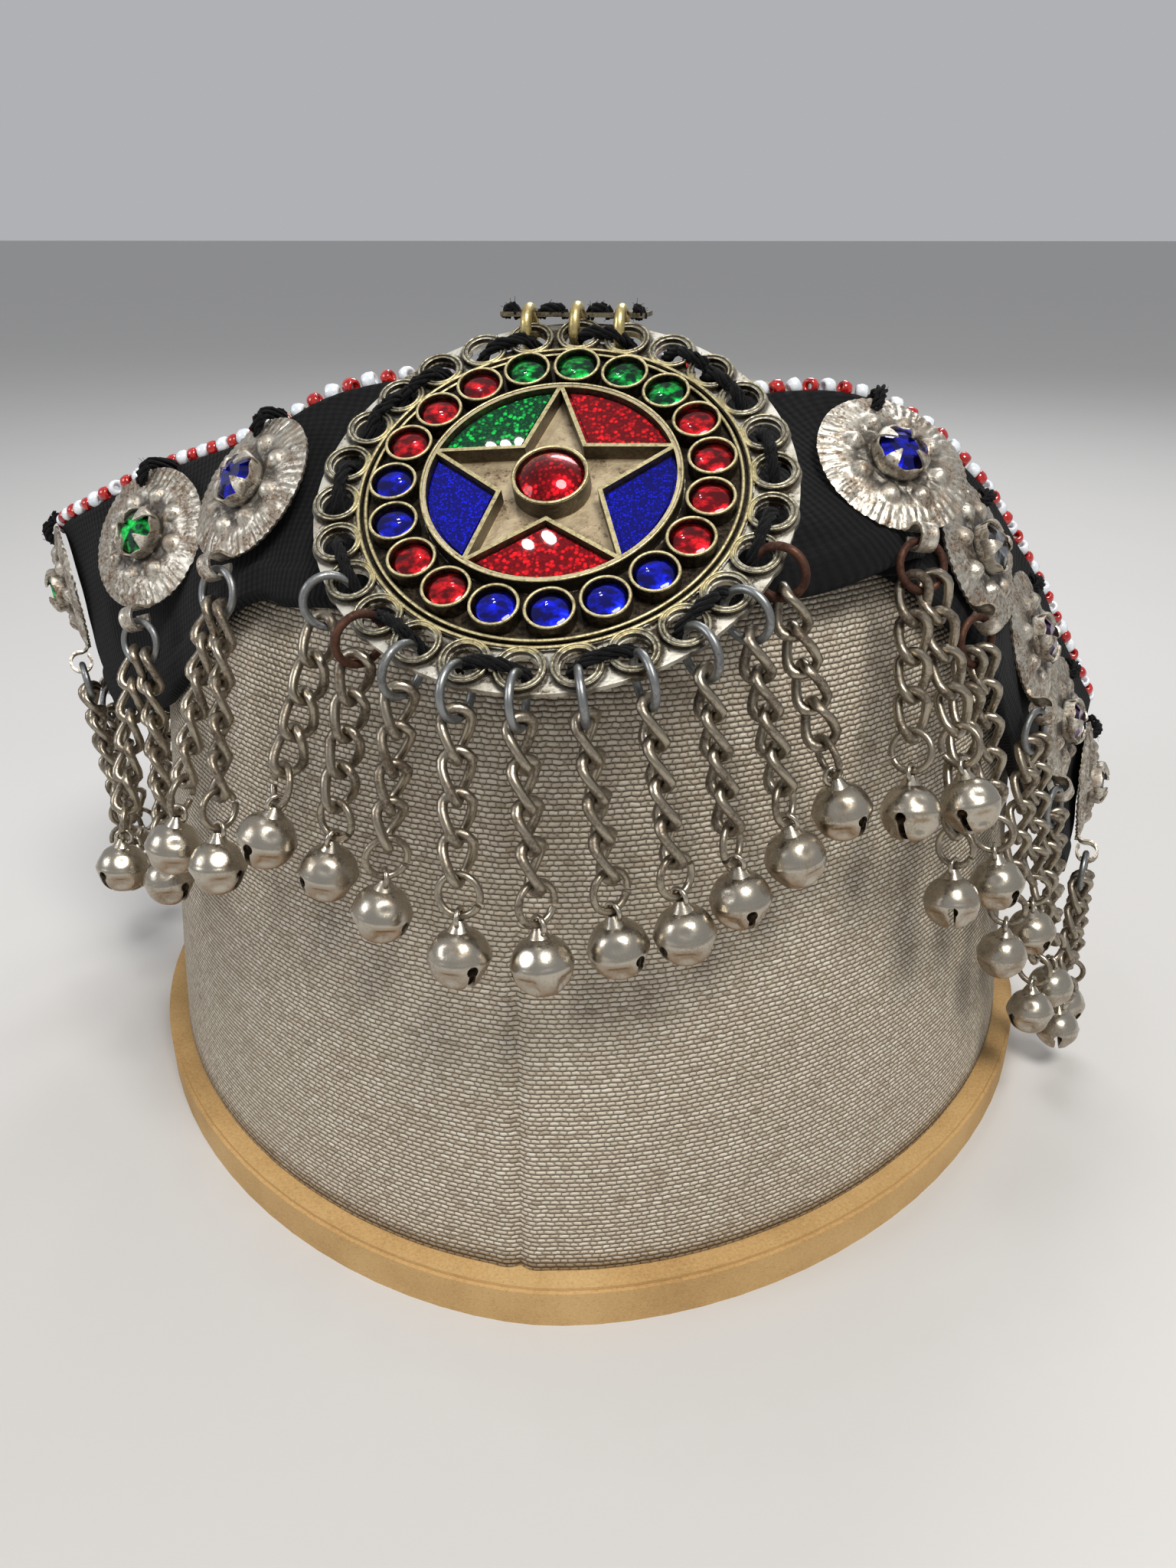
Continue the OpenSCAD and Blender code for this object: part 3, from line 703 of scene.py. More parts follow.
# the bells carry a painted tan reflection on what faces down
bellMetal = wireFinish(
    "rubbedNickel", (0.46, 0.42, 0.35), (0.20, 0.15, 0.10), (0.46, 0.72), 0.25, 0.42, warm=0.85
)
zincWire = wireFinish("dullZinc", (0.27, 0.28, 0.28), (0.10, 0.095, 0.09), (0.42, 0.68), 0.36, 0.6)
rustWire = wireFinish("rustyIron", (0.12, 0.06, 0.04), (0.045, 0.017, 0.012), (0.4, 0.62), 0.55, 0.85)
brassWire = wireFinish("dullBrass", (0.66, 0.54, 0.24), (0.22, 0.16, 0.07), (0.46, 0.68), 0.32, 0.5)
darkBrass = wireFinish("blackenedBrass", (0.30, 0.25, 0.16), (0.03, 0.024, 0.018), (0.36, 0.6), 0.3, 0.6)
sheetMetal = discFinish()
frameMetal = medallionFinish(medallionCentre, medallionNormal, medallionAcross)
glassColours = {
    "red": ((0.13, 0.0004, 0.003), (1.0, 0.009, 0.018)),
    "green": ((0.0004, 0.030, 0.012), (0.004, 0.66, 0.08)),
    "blue": ((0.0008, 0.0008, 0.12), (0.004, 0.014, 0.85)),
    "clear": ((0.07, 0.07, 0.075), (0.42, 0.42, 0.43)),
    "violet": ((0.03, 0.006, 0.04), (0.22, 0.06, 0.28)),
}
foilGlass = {k: foilGlassFinish(k + "FoilGlass", d, b) for k, (d, b) in glassColours.items()}
flakes = {"red": (1.35, 0.62), "green": (1.3, 0.6), "blue": (2.6, 0.5)}  # cells to a millimetre, share lit
glitterGlass = {k: glitterGlassFinish(k + "GlitterGlass", *glassColours[k], *flakes[k]) for k in flakes}
whiteBead = beadFinish("whiteSeedBead", (0.78, 0.80, 0.82), (0.60, 0.66, 0.72), 0.25, 0.1)
redBead = beadFinish("redSeedBead", (0.26, 0.002, 0.003), (0.50, 0.012, 0.005), 0.12, 0.0)
print("finishes made")


# linen form

def buildForm():
    form = {"levels": 60, "halfSteps": 150, "ease": 0.62, "seamX": -3.2, "grooveShadeAndPatina": 1.0, "grooveWide": 0.9,
            "pucker": 0.35, "puckerAt": 3.2, "puckerWide": 1.7, "lumps": 0.12, "seamGap": 0.0015}
    top = {"rings": 12, "hole": 0.02}
    angles = []
    for side in range(2):
        # half a turn from the back to the front, then on to the back, finer near both seams
        for k in range(form["halfSteps"]):
            t = k / form["halfSteps"]
            ease = t - form["ease"] / (2 * math.pi) * math.sin(2 * math.pi * t)
            angles.append(math.pi / 2 + math.pi * (side + ease))
    angles.append(math.pi / 2 + 2 * math.pi - form["seamGap"])
    rows = []
    profile = stand["profile"]
    for k in range(form["levels"] + 1):
        u = (len(profile) - 1) * k / form["levels"]
        rows.append(smoothRow(profile, u))
    foot = [outlinePoint(a, 0) for a in angles]
    run = [0.0]
    for a, b in zip(foot, foot[1:]):
        run.append(run[-1] + (b - a).length)
    climb = 0.0
    rings, marks = [], []
    for k, (inset, height) in enumerate(rows):
        if k:
            climb += math.hypot(inset - rows[k - 1][0], height - rows[k - 1][1])
        ring = []
        for a, s in zip(angles, run):
            spot = outlinePoint(a, inset) + Vector((0, 0, height))
            aside = spot.x - footprintShift.x - form["seamX"]
            out = Vector((math.cos(a), math.sin(a), 0.35)).normalized()
            push = -form["grooveShadeAndPatina"] * math.exp(-(aside / form["grooveWide"]) ** 2)
            push += form["pucker"] * math.exp(-((abs(aside) - form["puckerAt"]) / form["puckerWide"]) ** 2)
            push += form["lumps"] * wobble(spot, 0.09, 3)
            ring.append(spot + out * push)
        rings.append(ring)
        marks.append([Vector((s, climb, 0)) for s in run])
    # the flat top goes on with the same weave toward its middle
    edge = rings[-1]
    middle = sum(edge, Vector()) / len(edge)
    reach = sum((spot - middle).length for spot in edge) / len(edge)
    for k in range(1, top["rings"] + 1):
        share = 1 - (1 - top["hole"]) * k / top["rings"]
        rings.append([middle + (spot - middle) * share for spot in edge])
        marks.append([Vector((s, climb + reach * (1 - share), 0)) for s in run])
    bm = bmesh.new()
    bm.verts.layers.float_vector.new("weave")
    sweep(bm, rings, tag="weave", marks=marks)
    bmesh.ops.recalc_face_normals(bm, faces=bm.faces)
    piece = finishPiece("linenForm", bm, [linen], ["linen_form"])


buildForm()
print("linen form made")


# head band

def bandSkin(s, half, up, low):
    # half thickness, with a hem along the low edge, the crease above it and a turned top edge
    fromLow, fromTop = low - s, s + up
    past = fromLow - band["hemWide"]
    hem = band["hem"] * (1 if past < 0 else math.exp(-(past / 0.7) ** 2))
    crease = band["crease"] * math.exp(-((past - 0.5) / 0.55) ** 2)
    top = 0.3 * math.exp(-(fromTop / 3.5) ** 2)
    return half + hem - crease + top


def buildBand():
    last = len(band["stations"]) - 1
    steps = last * band["stepsPerStation"]
    across = band["stepsAcross"]
    rings, marks = [], []
    travel = 0.0
    previous = None
    area = 0.0
    for k in range(steps + 1):
        u = last * k / steps
        row = smoothRow(band["stations"], u)
        up, low = row[5], row[6]
        middle = bandPoint(u)
        if previous is not None:
            travel += (middle - previous).length
            area += (middle - previous).length * (up + low)
        previous = middle
        ring, mark = [], []
        half = band["thick"] / 2 - 0.1
        for side in (1, -1):
            for j in range(across + 1):
                t = j / across if side > 0 else 1 - j / across
                s = -up + (up + low) * t
                edge = min(s + up, low - s)
                rounding = math.sqrt(max(0.0, 1 - max(0.0, 1 - edge) ** 2)) * 0.85 + 0.15
                spot = clothPoint(u, s, 0)
                fold = 0.55 * wobble(spot, 0.055, 1) + 0.22 * wobble(spot, 0.16, 2)
                fold *= 1.0 if side > 0 else 0.6
                skin = bandSkin(s, half, up, low) if side > 0 else half
                ring.append(clothPoint(u, s, side * skin * rounding + fold))
                mark.append(Vector((travel, s, 0)))
        rings.append(ring)
        marks.append(mark)
    bm = bmesh.new()
    bm.verts.layers.float_vector.new("weave")
    sweep(bm, rings, tag="weave", marks=marks)
    bmesh.ops.recalc_face_normals(bm, faces=bm.faces)
    piece = finishPiece("headBand", bm, [knit], ["head_band"])
    print("band runs", round(travel, 1), "mm, cloth", round(area, 0), "mm2")
    area / travel * mm


buildBand()
print("head band made")


# seed beads along the top edge

def beadTemplate():
    bm = ringOf(1.1, 1.25, 14, 8)
    bmesh.ops.scale(bm, vec=(1, 2.1, 1), verts=bm.verts)
    return asMesh(bm, "beadShape")


def buildBeads():
    # pitch and height over the edge in mm, then stations of the band and the reach that the medallion hides
    beads = {"pitch": 3.6, "rise": 0.77, "from": 0.2, "to": 14.9, "step": 0.004, "hidden": 0.55}
    shape = beadTemplate()
    sets = [bmesh.new(), bmesh.new()]
    count = 0
    u = beads["from"]
    lastSpot = None
    while u < beads["to"]:
        row = smoothRow(band["stations"], u)
        spot = clothPoint(u, -row[5] - beads["rise"], 0.7)
        if lastSpot is None or (spot - lastSpot).length >= beads["pitch"]:
            if abs(u - medallion["station"]) > beads["hidden"]:
                tip = tipped(0.5, "X") @ tipped(0.4, "Z")
                size = random.uniform(0.92, 1.06) * (1.0 if count % 2 == 0 else 0.93)
                addCopy(sets[count % 2], shape, placed(spot, *bandFrame(u)[2:]) @ tip @ Matrix.Scale(size, 4))
                count += 1
            lastSpot = spot
        u += beads["step"]
    finishPiece("whiteBeads", sets[0], [whiteBead])
    finishPiece("redBeads", sets[1], [redBead])
    print("beads", count)


buildBeads()


# chains

linkShape = {"wire": 1.5, "bend": 2.45, "side": 3.3, "thick": 1.8, "twist": -45.0, "mean": -15.0,
             "play": 0.2, "jumpPlay": 0.35}
jump = {"wire": 1.4, "radius": 4.2}
endRing = {"radius": 3.45, "wire": 1.1, "thick": 1.28, "opening": 12.0}
bell = {"radius": 5.25, "drop": 8.2, "loop": 1.5, "loopWire": 0.9, "wall": 0.5, "slit": 1.15,
        "keyhole": 0.95, "slitTop": 0.12, "collar": 1.9, "neck": 0.8, "collarTall": 1.7}


def linkTemplate():
    bm = ringOf(linkShape["bend"], linkShape["thick"], 18, 8)
    half = linkShape["side"] / 2
    bmesh.ops.rotate(bm, verts=bm.verts, cent=(0, 0, 0), matrix=Matrix.Rotation(math.radians(10), 3, "Y"))
    for v in bm.verts:
        v.co.z += half if v.co.z > 0 else -half
    long = [e for e in bm.edges if abs(e.verts[0].co.z - e.verts[1].co.z) > half]
    bmesh.ops.subdivide_edges(bm, edges=long, cuts=3, use_grid_fill=False)
    reach = half + linkShape["bend"]
    for v in bm.verts:
        turn = math.radians(linkShape["twist"]) * max(-1, min(1, v.co.z / reach * 1.15))
        v.co = Matrix.Rotation(turn, 3, "Z") @ v.co
    bmesh.ops.recalc_face_normals(bm, faces=bm.faces)
    return asMesh(bm, "linkShape")


def bellTemplate():
    # crimped shell spun from its outline, with pinched hollows and a keyhole slit across its foot
    r = bell["radius"]
    bm = bmesh.new()
    outline = []
    for k in range(41):
        a = math.pi / 2 - math.pi * k / 40
        ridge = 0.2 * math.exp(-((math.degrees(a) - 3) / 2.6) ** 2)
        shoulder = 0.12 * math.exp(-((math.degrees(a) - 48) / 16) ** 2)
        wide = (r - 0.2 + ridge + shoulder) * math.cos(a)
        outline.append(bm.verts.new((wide, 0, (r - 0.25) * math.sin(a))))
    edges = [bm.edges.new(pair) for pair in zip(outline, outline[1:])]
    bmesh.ops.spin(
        bm, geom=outline + edges, cent=(0, 0, 0), axis=(0, 0, 1), angle=2 * math.pi, steps=52, use_merge=True,
        use_duplicate=False,
    )
    bmesh.ops.remove_doubles(bm, verts=bm.verts, dist=0.01)
    for v in bm.verts:
        a = math.degrees(math.atan2(v.co.y, v.co.x))
        lift = math.degrees(math.asin(max(-1, min(1, v.co.z / r))))
        press = 0
        for k in range(4):
            away = (a - 45 - 90 * k + 180) % 360 - 180
            press += 0.95 * math.exp(-(away / 23) ** 4 - ((lift + 27) / 17) ** 4)
            press += 0.3 * math.exp(-(away / 15) ** 2 - ((lift - 30) / 10) ** 2)
        v.co *= 1 - press / r
    bmesh.ops.recalc_face_normals(bm, faces=bm.faces)
    bmesh.ops.solidify(bm, geom=bm.faces[:], thickness=bell["wall"])
    shell = addToScene("bellShell", asMesh(bm, "bellShell"))
    cutter = bmesh.new()
    slit = bmesh.ops.create_cube(cutter, size=1)["verts"]
    bmesh.ops.scale(cutter, vec=(r * 2.2, bell["slit"], r * 1.6), verts=slit)
    bmesh.ops.translate(cutter, vec=(0, 0, -r * (0.8 + bell["slitTop"])), verts=slit)
    holes = bmesh.new()
    hole = bmesh.ops.create_cone(
        holes, segments=20, radius1=bell["keyhole"], radius2=bell["keyhole"], depth=r * 2.2, cap_ends=True
    )["verts"]
    bmesh.ops.rotate(holes, verts=hole, cent=(0, 0, 0), matrix=Matrix.Rotation(math.pi / 2, 3, "Y"))
    bmesh.ops.translate(holes, verts=hole, vec=(0, 0, -r * bell["slitTop"]))
    tools = [addToScene(n, asMesh(m, n)) for n, m in (("bellSlit", cutter), ("bellHoles", holes))]
    for tool in tools:
        cut = shell.modifiers.new("cut", "BOOLEAN")
        cut.operation = "DIFFERENCE"
        cut.solver = "EXACT"
        cut.object = tool
    evaluated = shell.evaluated_get(bpy.context.evaluated_depsgraph_get())
    bm = bmesh.new()
    bm.from_mesh(evaluated.to_mesh())
    for thing in [shell] + tools:
        bpy.data.objects.remove(thing)
    collar = bmesh.ops.create_cone(
        bm, segments=20, radius1=bell["collar"], radius2=bell["neck"], depth=bell["collarTall"], cap_ends=True
    )["verts"]
    bmesh.ops.translate(bm, verts=collar, vec=(0, 0, r + 0.25))
    bmesh.ops.recalc_face_normals(bm, faces=bm.faces)
    return asMesh(bm, "bellShape")


linkMesh = linkTemplate()
bellMesh = bellTemplate()
jumpMesh = asMesh(ringOf(jump["radius"], jump["wire"], 32, 10), "jumpShape")
endRingMesh = asMesh(ringOf(endRing["radius"], endRing["thick"], 28, 8, endRing["opening"]), "endRingShape")
bellLoopMesh = asMesh(ringOf(bell["loop"], bell["loopWire"], 20, 8), "bellLoopShape")
print("link and bell shapes made, bell faces", len(bellMesh.polygons))

linkHalf = linkShape["side"] / 2 + linkShape["bend"]
linkPitch = 2 * linkHalf - linkShape["wire"] - linkShape["play"]
firstLink = (jump["wire"] + linkShape["wire"]) / 2 + linkShape["jumpPlay"] - linkHalf


def hangChain(bm, at, count):
    # links, ring and bell below a point on the jump ring's wire
    drift = random.uniform(-5, 5)
    turn = linkShape["mean"] + random.uniform(-12, 12)
    for k in range(count):
        addCopy(bm, linkMesh, at @ lifted(firstLink - k * linkPitch) @ turned(turn))
        turn += drift
    foot = firstLink - (count - 1) * linkPitch - linkHalf
    ringTop = foot + (linkShape["wire"] + endRing["wire"]) / 2 + linkShape["play"]
    spin = turned(turn + linkShape["twist"])
    gapTurn = turned(random.choice((-70, 70, 110)), "Y")
    addCopy(bm, endRingMesh, at @ lifted(ringTop - endRing["radius"]) @ spin @ gapTurn)
    bellTop = ringTop - 2 * endRing["radius"] + (endRing["wire"] + bell["loopWire"]) / 2 + linkShape["play"]
    swing = turned(turn - linkShape["twist"])
    addCopy(bm, bellLoopMesh, at @ lifted(bellTop - bell["loop"]) @ swing, 1)
    # the closed shell may be soldered on at any turn under its loop
    body = turned(random.uniform(-90, 90)) @ tipped(0.1, "X")
    addCopy(bm, bellMesh, at @ lifted(bellTop - bell["drop"]) @ body, 1)


def loopAngle(i):
    return medallion["loopTurn"] - i * 360 / medallion["loops"]


def stoneAngle(i):
    return medallion["stoneTurn"] - i * 360 / medallion["stones"]


def fringeFrame(i):
    side, out = (math.tan(math.radians(a)) for a in fringe["lean"][i])
    hang = Vector((side, -out, -1)).normalized()
    angle = math.radians(loopAngle(fringe["firstLoop"] - i))
    away = medallionAcross * math.cos(angle) + medallionUp * math.sin(angle)
    middle = (medallion["rim"] + medallion["loopCircle"] + medallion["loopHole"]) / 2
    rim = medallionCentre + away * middle + medallionNormal
    return placed(rim + hang * fringe["ringHang"], (away - hang * away.dot(hang)).normalized(), -hang)


def dropFrame(i):
    along, down, normal = bandFrame(discs["stations"][i])[1:]
    level = Vector((along.x, along.y, 0)).normalized()
    lean = math.radians(discs["lean"][i])
    hang = level.cross(zAxis) * math.sin(lean) - zAxis * math.cos(lean)
    eye = discCentre(i) + normal * (discs["eye"] - discs["drop"]) + down * discs["eyeReach"]
    centre = eye + (hang - along * along.dot(hang)).normalized() * discs["eyeToRing"]
    return placed(centre, (along - hang * along.dot(hang)).normalized(), -hang)


def finishChain(kind, i, bm, rusty):
    finishes = [silverWire, bellMetal, rustWire if i + 1 in rusty else zincWire]
    finishPiece(f"{kind}Chain{i + 1}", bm, finishes, [f"{kind}_chain_{i + 1}"], sharp=50)


def buildChains():
    for i in range(len(fringe["lean"])):
        bm = bmesh.new()
        at = fringeFrame(i)
        addCopy(bm, jumpMesh, at, 2)
        hangChain(bm, at @ lifted(-jump["radius"]), fringe["links"])
        finishChain("fringe", i, bm, fringe["rusty"])
    part = math.radians(discs["part"])
    for i, links in enumerate(discs["links"]):
        bm = bmesh.new()
        at = dropFrame(i)
        addCopy(bm, jumpMesh, at, 2)
        for side in (-1, 1):
            low = discs["slack"] - jump["radius"] * math.cos(part)
            spot = Matrix.Translation((side * jump["radius"] * math.sin(part), 0, low))
            hangChain(bm, at @ spot @ turned(-side * discs["splay"], "Y"), links)
        finishChain("drop", i, bm, discs["rusty"])


buildChains()
print("chains made")


# discs

def discShape(seed):
    d = {"steps": 184, "rings": 26, "inner": 3.9, "sheet": 0.5, "bosses": 8, "bossCircle": 8.2, "boss": 1.45,
         "flutes": 58, "flute": 0.13, "claws": 4}
    bm = bmesh.new()
    layer = bm.verts.layers.float_vector.new("local")
    verts = bmesh.ops.create_circle(bm, segments=d["steps"], radius=d["inner"], cap_ends=False)["verts"]
    edges = list({e for v in verts for e in v.link_edges})
    step = (discs["radius"] - d["inner"]) / d["rings"]
    for k in range(d["rings"]):
        made = bmesh.ops.extrude_edge_only(bm, edges=edges)["geom"]
        new = [g for g in made if isinstance(g, bmesh.types.BMVert)]
        edges = [g for g in made if isinstance(g, bmesh.types.BMEdge)]
        grow = (d["inner"] + (k + 1) * step) / (d["inner"] + k * step)
        bmesh.ops.scale(bm, vec=(grow, grow, 1), verts=new)
    for v in bm.verts:
        r = math.hypot(v.co.x, v.co.y)
        a = math.atan2(v.co.y, v.co.x)
        z = 0.1 - discs["drop"] * max(0.0, (r - discs["flat"]) / (discs["radius"] - discs["flat"])) ** 1.3
        for k in range(d["bosses"]):
            w = 2 * math.pi * (k + 0.5) / d["bosses"]
            far = math.hypot(v.co.x - d["bossCircle"] * math.cos(w), v.co.y - d["bossCircle"] * math.sin(w))
            high = 1 + 0.25 * wobble(Vector((k, 0, 0)), 3.7, seed)
            z += d["boss"] * high * max(0.0, 1 - (far / 2.15) ** 2) ** 1.15
        z += 0.3 * math.exp(-((r - 6.1) / 0.5) ** 2)
        reach = max(0.0, min(1.0, (r - 10.2) / 1.5))
        z += d["flute"] * reach * math.sin(a * d["flutes"] + 2 * wobble(v.co, 0.3, seed))
        z += 0.22 * wobble(v.co, 0.12, seed + 4) * (r / discs["radius"]) ** 2
        z += 0.13 * wobble(v.co, 0.75, seed + 9) + 0.05 * wobble(v.co, 1.9, seed + 11)
        if r > discs["radius"] - step / 2:
            v.co *= 1 - 0.012 * abs(wobble(v.co, 0.35, seed + 2))
        v.co.z = z
    bmesh.ops.recalc_face_normals(bm, faces=bm.faces)
    if sum(f.normal.z for f in bm.faces) < 0:
        bmesh.ops.reverse_faces(bm, faces=bm.faces)
    bmesh.ops.solidify(bm, geom=bm.faces[:], thickness=d["sheet"])

    # cup: a short wall with a wavy lip
    wall = []
    for height, r in (
        (0.2, 4.98), (1.0, 4.88), (2.0, 4.92), (2.7, 5.0),
        (2.95, 4.95), (2.9, 4.65), (2.3, 4.46), (0.25, 4.42),
    ):
        wall.append([
            polar(360 * k / 72, r, height + 0.22 * math.sin(math.radians(360 * k / 72 * 8)) * (height > 1.5))
            for k in range(72)
        ])
    sweep(bm, wall, caps=False)
    # claws: pointed leaves pressed over the stone
    for k in range(d["claws"]):
        turn = Matrix.Rotation(math.radians(45 + 90 * k + random.uniform(-5, 5)), 3, "Z")
        leaf = []
        for (r, z), half in zip(
            ((4.95, 1.6), (5.05, 2.6), (4.8, 3.3), (4.1, 3.8), (3.2, 4.15), (2.15, 4.35)),
            (1.6, 1.6, 1.35, 1.0, 0.6, 0.14),
        ):
            lean = 0.22
            leaf.append([turn @ Vector(corner) for corner in (
                (r, -half, z), (r + lean * 0.4, 0, z + 0.14), (r, half, z),
                (r - lean, half, z - 0.34), (r - lean, 0, z - 0.30), (r - lean, -half, z - 0.34),
            )])
        sweep(bm, leaf)
    # tab from the low rim: it steps forward, then curls over the front and back into the eye
    path = [(-13.3, -0.78), (-14.3, -0.85), (-14.95, -0.35), (-15.25, 0.6)]
    path += [
        (-discs["eyeReach"] + 2.27 * math.cos(math.radians(w)), 1.4 + 2.27 * math.sin(math.radians(w)))
        for w in range(5, 320, 15)
    ]
    strip = []
    for k, (y, z) in enumerate(path):
        a, b = neighbours(path, k)
        tangent = Vector((0, b[0] - a[0], b[1] - a[1])).normalized()
        out = Vector((0, -tangent.z, tangent.y))
        half = 1.95 - 0.35 * min(1, k / 8)
        centre = Vector((0, y, z))
        strip.append([
            centre + Vector((-half, 0, 0)) + out * 0.22, centre + Vector((half, 0, 0)) + out * 0.22,
            centre + Vector((half, 0, 0)) - out * 0.28, centre + Vector((-half, 0, 0)) - out * 0.28,
        ])
    sweep(bm, strip)
    for v in bm.verts:
        v[layer] = v.co
    bmesh.ops.recalc_face_normals(bm, faces=bm.faces)
    return bm


def buildDiscs():
    glass = ["red", "clear", "green", "green", "blue", "blue", "clear", "violet", "violet", "clear"]
    for i, colour in enumerate(glass):
        bm = discShape(i + 1)
        bmesh.ops.transform(bm, matrix=discFrame(i), verts=bm.verts)
        finishPiece(f"disc{i + 1}", bm, [sheetMetal], [f"disc_{i + 1}"], sharp=40)
        dress(f"disc_stone_{i + 1}", foilGlass[colour])


buildDiscs()
print("discs made")


# medallion: the soldered frame keeps its CAD solid, and gets its wires, stones and lacing

def flatRing(bm, matrix, r, wire, steps=28):
    shape = asMesh(ringOf(r, wire, steps, 6), "lip")
    addCopy(bm, shape, matrix @ Matrix.Rotation(math.pi / 2, 4, "X"))
    bpy.data.meshes.remove(shape)


def buildMedallionWires():
    bm = bmesh.new()
    for i in range(medallion["loops"]):
        spot = onMedallion @ Matrix.Translation(polar(loopAngle(i), medallion["loopCircle"], 2.0))
        flatRing(bm, spot, 3.75, 0.42)
        flatRing(bm, spot @ lifted(-0.1), 3.1, 0.4)
    for i in range(medallion["stones"]):
        spot = polar(stoneAngle(i), medallion["stoneCircle"], medallion["bezelTop"])
        flatRing(bm, onMedallion @ Matrix.Translation(spot), 3.75, 0.5, 32)
    # height, radius, wire and steps: round the star, round the centre stone, and on the two plain rings
    for z, r, wire, steps in (
        (4.0, 21.08, 0.46, 96), (4.6, 6.0, 0.65, 48), (1.85, 30.65, 0.62, 128), (1.85, 31.9, 0.62, 128),
    ):
        flatRing(bm, onMedallion @ lifted(z), r, wire, steps)
    finishPiece("medallionWires", bm, [frameMetal])


def buildStones():
    ringColours = [0, 0, 0, 0, 1, 1, 1, 1, 2, 2, 2, 2, 1, 1, 2, 2, 1, 1, 1]
    # radius and height of the stone's outline, from its foot to its crown
    outline = ((3.38, 1.1), (3.4, 2.6), (3.3, 2.95), (3.0, 3.15), (2.3, 3.34), (1.3, 3.46), (0.4, 3.5))
    stone = bmesh.new()
    sweep(stone, [[polar(360 * k / 28, r, z) for k in range(28)] for r, z in outline])
    bmesh.ops.recalc_face_normals(stone, faces=stone.faces)
    shape = asMesh(stone, "stone")
    for index, colour in enumerate(("green", "red", "blue")):
        bm = bmesh.new()
        for i in range(medallion["stones"]):
            if ringColours[i] != index:
                continue
            tilt = tipped(0.04, "X") @ tipped(0.04, "Y")
            spot = Matrix.Translation(polar(stoneAngle(i), medallion["stoneCircle"]))
            addCopy(bm, shape, onMedallion @ spot @ tilt)
        slot, nodes = f"{colour}_glass", [f"ring_stones_{colour}"]
        finishPiece(f"{colour}RingStones", bm, [foilGlass[colour]], nodes, sharp=50)
    bpy.data.meshes.remove(shape)
    for i, colour in enumerate(("red", "blue", "red", "blue", "green")):
        dress(f"star_pane_{i + 1}", glitterGlass[colour])
    dress("centre_stone", glitterGlass["red"])


fuzz = {"fibres": 16, "radius": 0.045, "step": (0.35, 0.8)}


def bundle(bm, points, strands, radius, spread, seed):
    # strands of thread side by side, twisting a little round each other
    for k in range(strands):
        path = []
        for j, spot in enumerate(points):
            w = 2 * math.pi * k / strands + j * 0.35 + seed
            a, b = neighbours(points, j)
            tangent = (b - a).normalized()
            side = tangent.orthogonal().normalized()
            other = tangent.cross(side)
            stray = spread * random.uniform(0.55, 1.3)
            path.append(spot + (side * math.cos(w) + other * math.sin(w)) * stray)
        tube(bm, path, radius * random.uniform(0.8, 1.1), 6)
    # loose fibres standing off the thread
    for k in range(fuzz["fibres"]):
        root = random.choice(points[2:-2])
        hair = [root]
        lean = Vector([random.uniform(-1, 1) for c in range(3)]).normalized()
        for j in range(3):
            lean = (lean + Vector([random.uniform(-0.6, 0.6) for c in range(3)])).normalized()
            hair.append(hair[-1] + lean * random.uniform(*fuzz["step"]))
        tube(bm, hair, fuzz["radius"], 3)


def curveThrough(points, steps):
    rows = [tuple(p) for p in points]
    return [Vector(smoothRow(rows, (len(rows) - 1) * k / steps)) for k in range(steps + 1)]


def buildLacing():
    bm = bmesh.new()
    for i in medallion["pairs"] + [4, 23]:
        a, b = loopAngle(i), loopAngle(i + 1)
        reach = medallion["loopCircle"] + random.uniform(-0.5, 0.3)
        spots = [
            polar(a + 1.8, reach, -0.4), polar(a + 0.6, reach, 0.9), polar(a - 2.6, reach - 0.1, 2.5),
            polar((a + b) / 2, reach - 0.2, 2.75),
            polar(b + 2.6, reach - 0.1, 2.5), polar(b - 0.6, reach, 0.9), polar(b - 1.8, reach, -0.4),
        ]
        points = [onMedallion @ s for s in curveThrough(spots, 22)]
        bundle(bm, points, 6, 0.38, 0.72, i)
    # thread wound along the crown plate's edge, between the rings
    onCrown = onMedallion @ Matrix.Translation((0, crown["y"], crown["z"])) @ turned(crown["lie"], "X")
    for k, (low, high) in enumerate(crown["wound"]):
        spots = [(low, -2.4, -0.6), (low + 0.5, -2.6, 0.9), ((low + high) / 2, -2.7, 1.15),
                 (high - 0.5, -2.6, 0.9), (high, -2.4, -0.6)]
        bundle(bm, [onCrown @ s for s in curveThrough(spots, 12)], 5, 0.36, 0.6, k)
    finishPiece("lacingThread", bm, [thread])


def buildDiscThreads():
    bm = bmesh.new()
    for i in range(10):
        at = discFrame(i)
        low = -discs["lift"][i] + band["thick"] / 2 + 0.5
        spots = [
            (-1.2, 11.6, -0.6), (-0.9, 12.2, 0.4), (-0.2, 13.6, 0.75), (0.3, 15.2, 0.1),
            (0.8, 16.4, low * 0.5 - 0.4), (0.6, 17.2, low),
        ]
        points = [at @ s for s in curveThrough(spots, 16)]
        bundle(bm, points, 6, 0.38, 0.8, i)
    finishPiece("discThreads", bm, [thread])


buildMedallionWires()
buildStones()
buildLacing()
buildDiscThreads()
dress("medallion_frame", frameMetal)
for name in ("top_ring_1", "top_ring_2", "top_ring_3"):
    dress(name, brassWire)
dress("crown_plate", darkBrass)
dress("base_board", board)
print("medallion dressed")


# floor and light

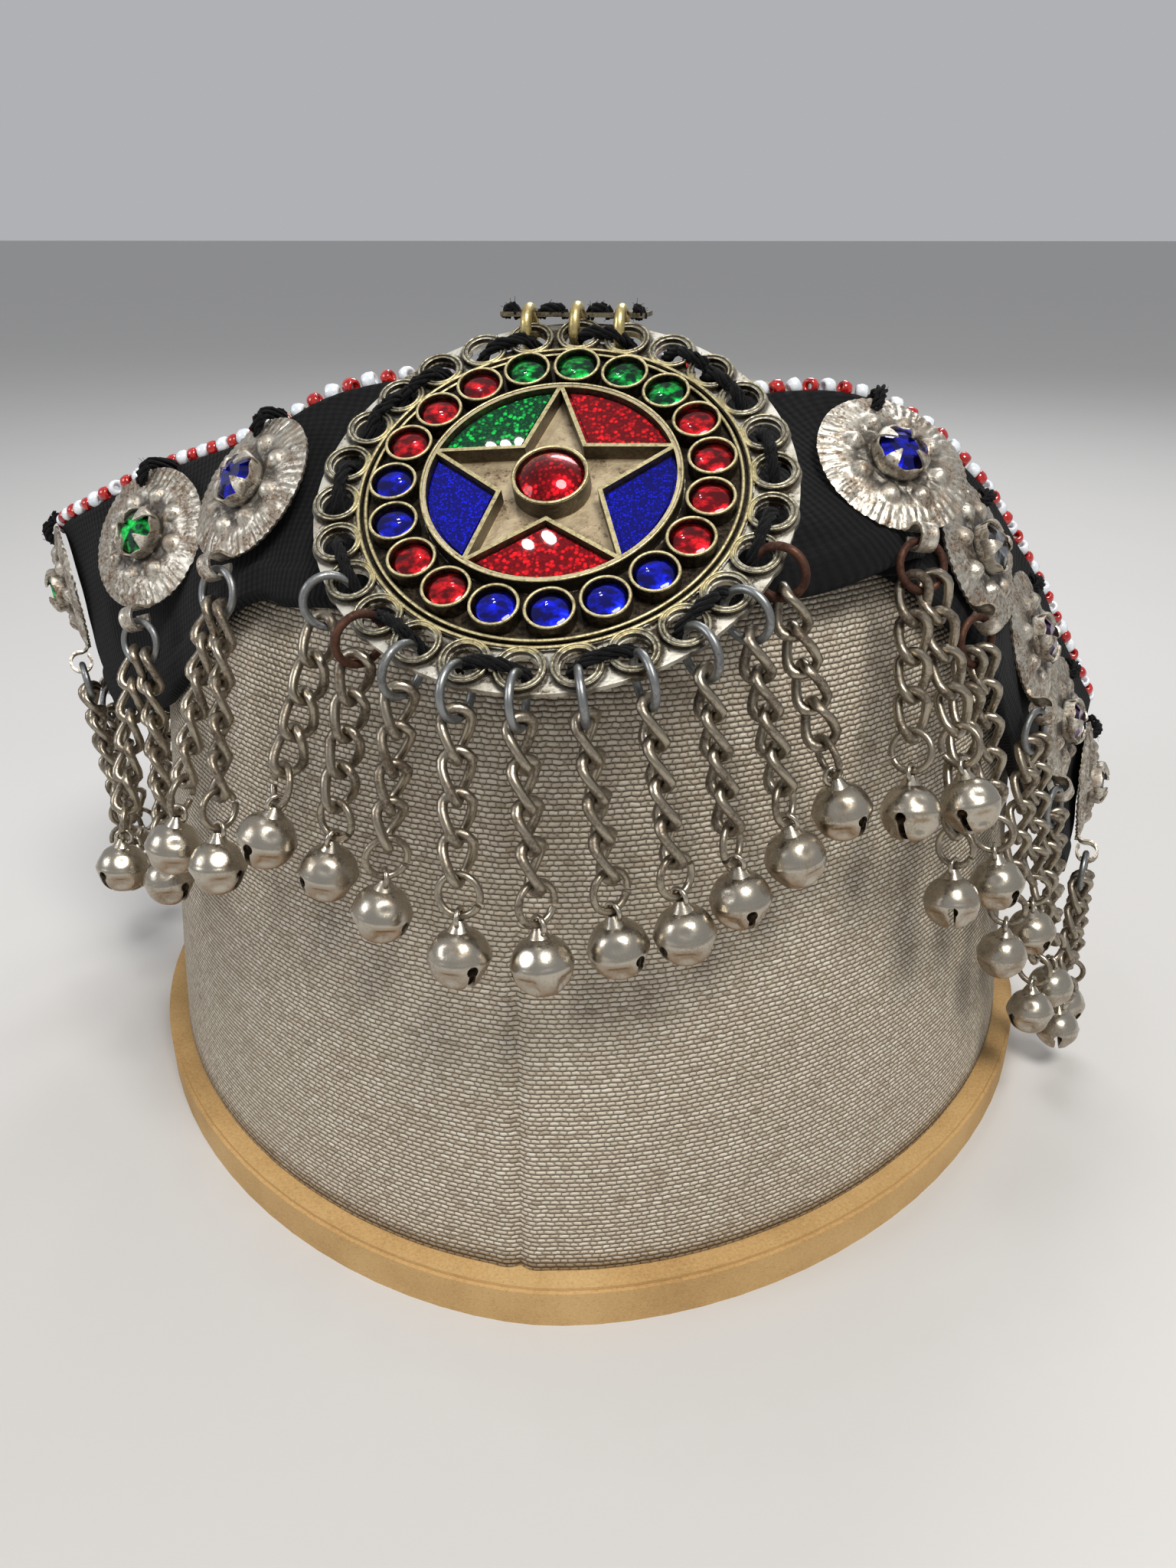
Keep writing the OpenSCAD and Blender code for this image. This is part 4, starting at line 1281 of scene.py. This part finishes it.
def buildRoom():
    room = {"size": 40.0, "floor": (0.56, 0.55, 0.535), "sky": (0.86, 0.88, 0.92), "strength": 0.50}
    bm = bmesh.new()
    bmesh.ops.create_grid(bm, x_segments=1, y_segments=1, size=room["size"])
    mesh = asMesh(bm, "floor")
    f = Finish("paleFloor")
    grain = f.cloud(f.place(), 0.01, 2.0)
    mesh.materials.append(f.surface(
        baseColor=f.blend(grain, room["floor"], tuple(c * 0.97 for c in room["floor"])), roughness=0.75,
    ))
    floor = addToScene("floor", mesh)
    world = bpy.data.worlds.new("studio")
    world.use_nodes = True
    sky = world.node_tree.nodes["Background"].inputs
    sky["Color"].default_value = room["sky"] + (1,)
    sky["Strength"].default_value = room["strength"]
    bpy.context.scene.world = world
    lamps = [
        # name, place, aim, width, height, watts, colour
        ("key", (0.30, -0.62, 1.05), (0, 0, 0.1), 0.40, 0.40, 12.0, (1.0, 0.97, 0.92)),
        ("fillLeft", (-0.95, -0.45, 0.65), (0, 0, 0.1), 0.5, 0.5, 3.5, (0.95, 0.96, 1.0)),
        ("rearTop", (0.15, 0.85, 0.95), (0, 0, 0.1), 0.7, 0.4, 6.0, (0.97, 0.98, 1.0)),
    ]
    # small bright lamps whose mirror images stand in the flat panes, as ceiling spots do
    eye = (Vector(view["from"]) + footprintShift) * mm
    glints = [(-11.4, 7.7), (-9.0, 8.2), (-6.7, 8.8), (1.0, -10.7), (1.6, -11.3), (-1.8, -12.6)]
    for k, (x, y) in enumerate(glints):
        point = (onMedallion @ Vector((x, y, 2.0))) * mm
        sight = (point - eye).normalized()
        mirrored = sight - 2 * sight.dot(medallionNormal) * medallionNormal
        spot = tuple(point + mirrored * 1.1)
        lamps.append((f"spot{k + 1}", spot, tuple(point), 0.009, 0.012, 0.08, (1, 1, 1)))
    for name, spot, aim, wide, high, watts, colour in lamps:
        data = bpy.data.lights.new(name, "AREA")
        data.shape = "ELLIPSE"
        data.size, data.size_y = wide, high
        data.energy = watts
        data.color = colour
        lamp = addToScene(name, data)
        lamp.location = spot
        lamp.rotation_euler = (Vector(aim) - Vector(spot)).to_track_quat("-Z", "Y").to_euler()


buildRoom()
bpy.context.scene.view_settings.view_transform = "Standard"
print("room and lights made")
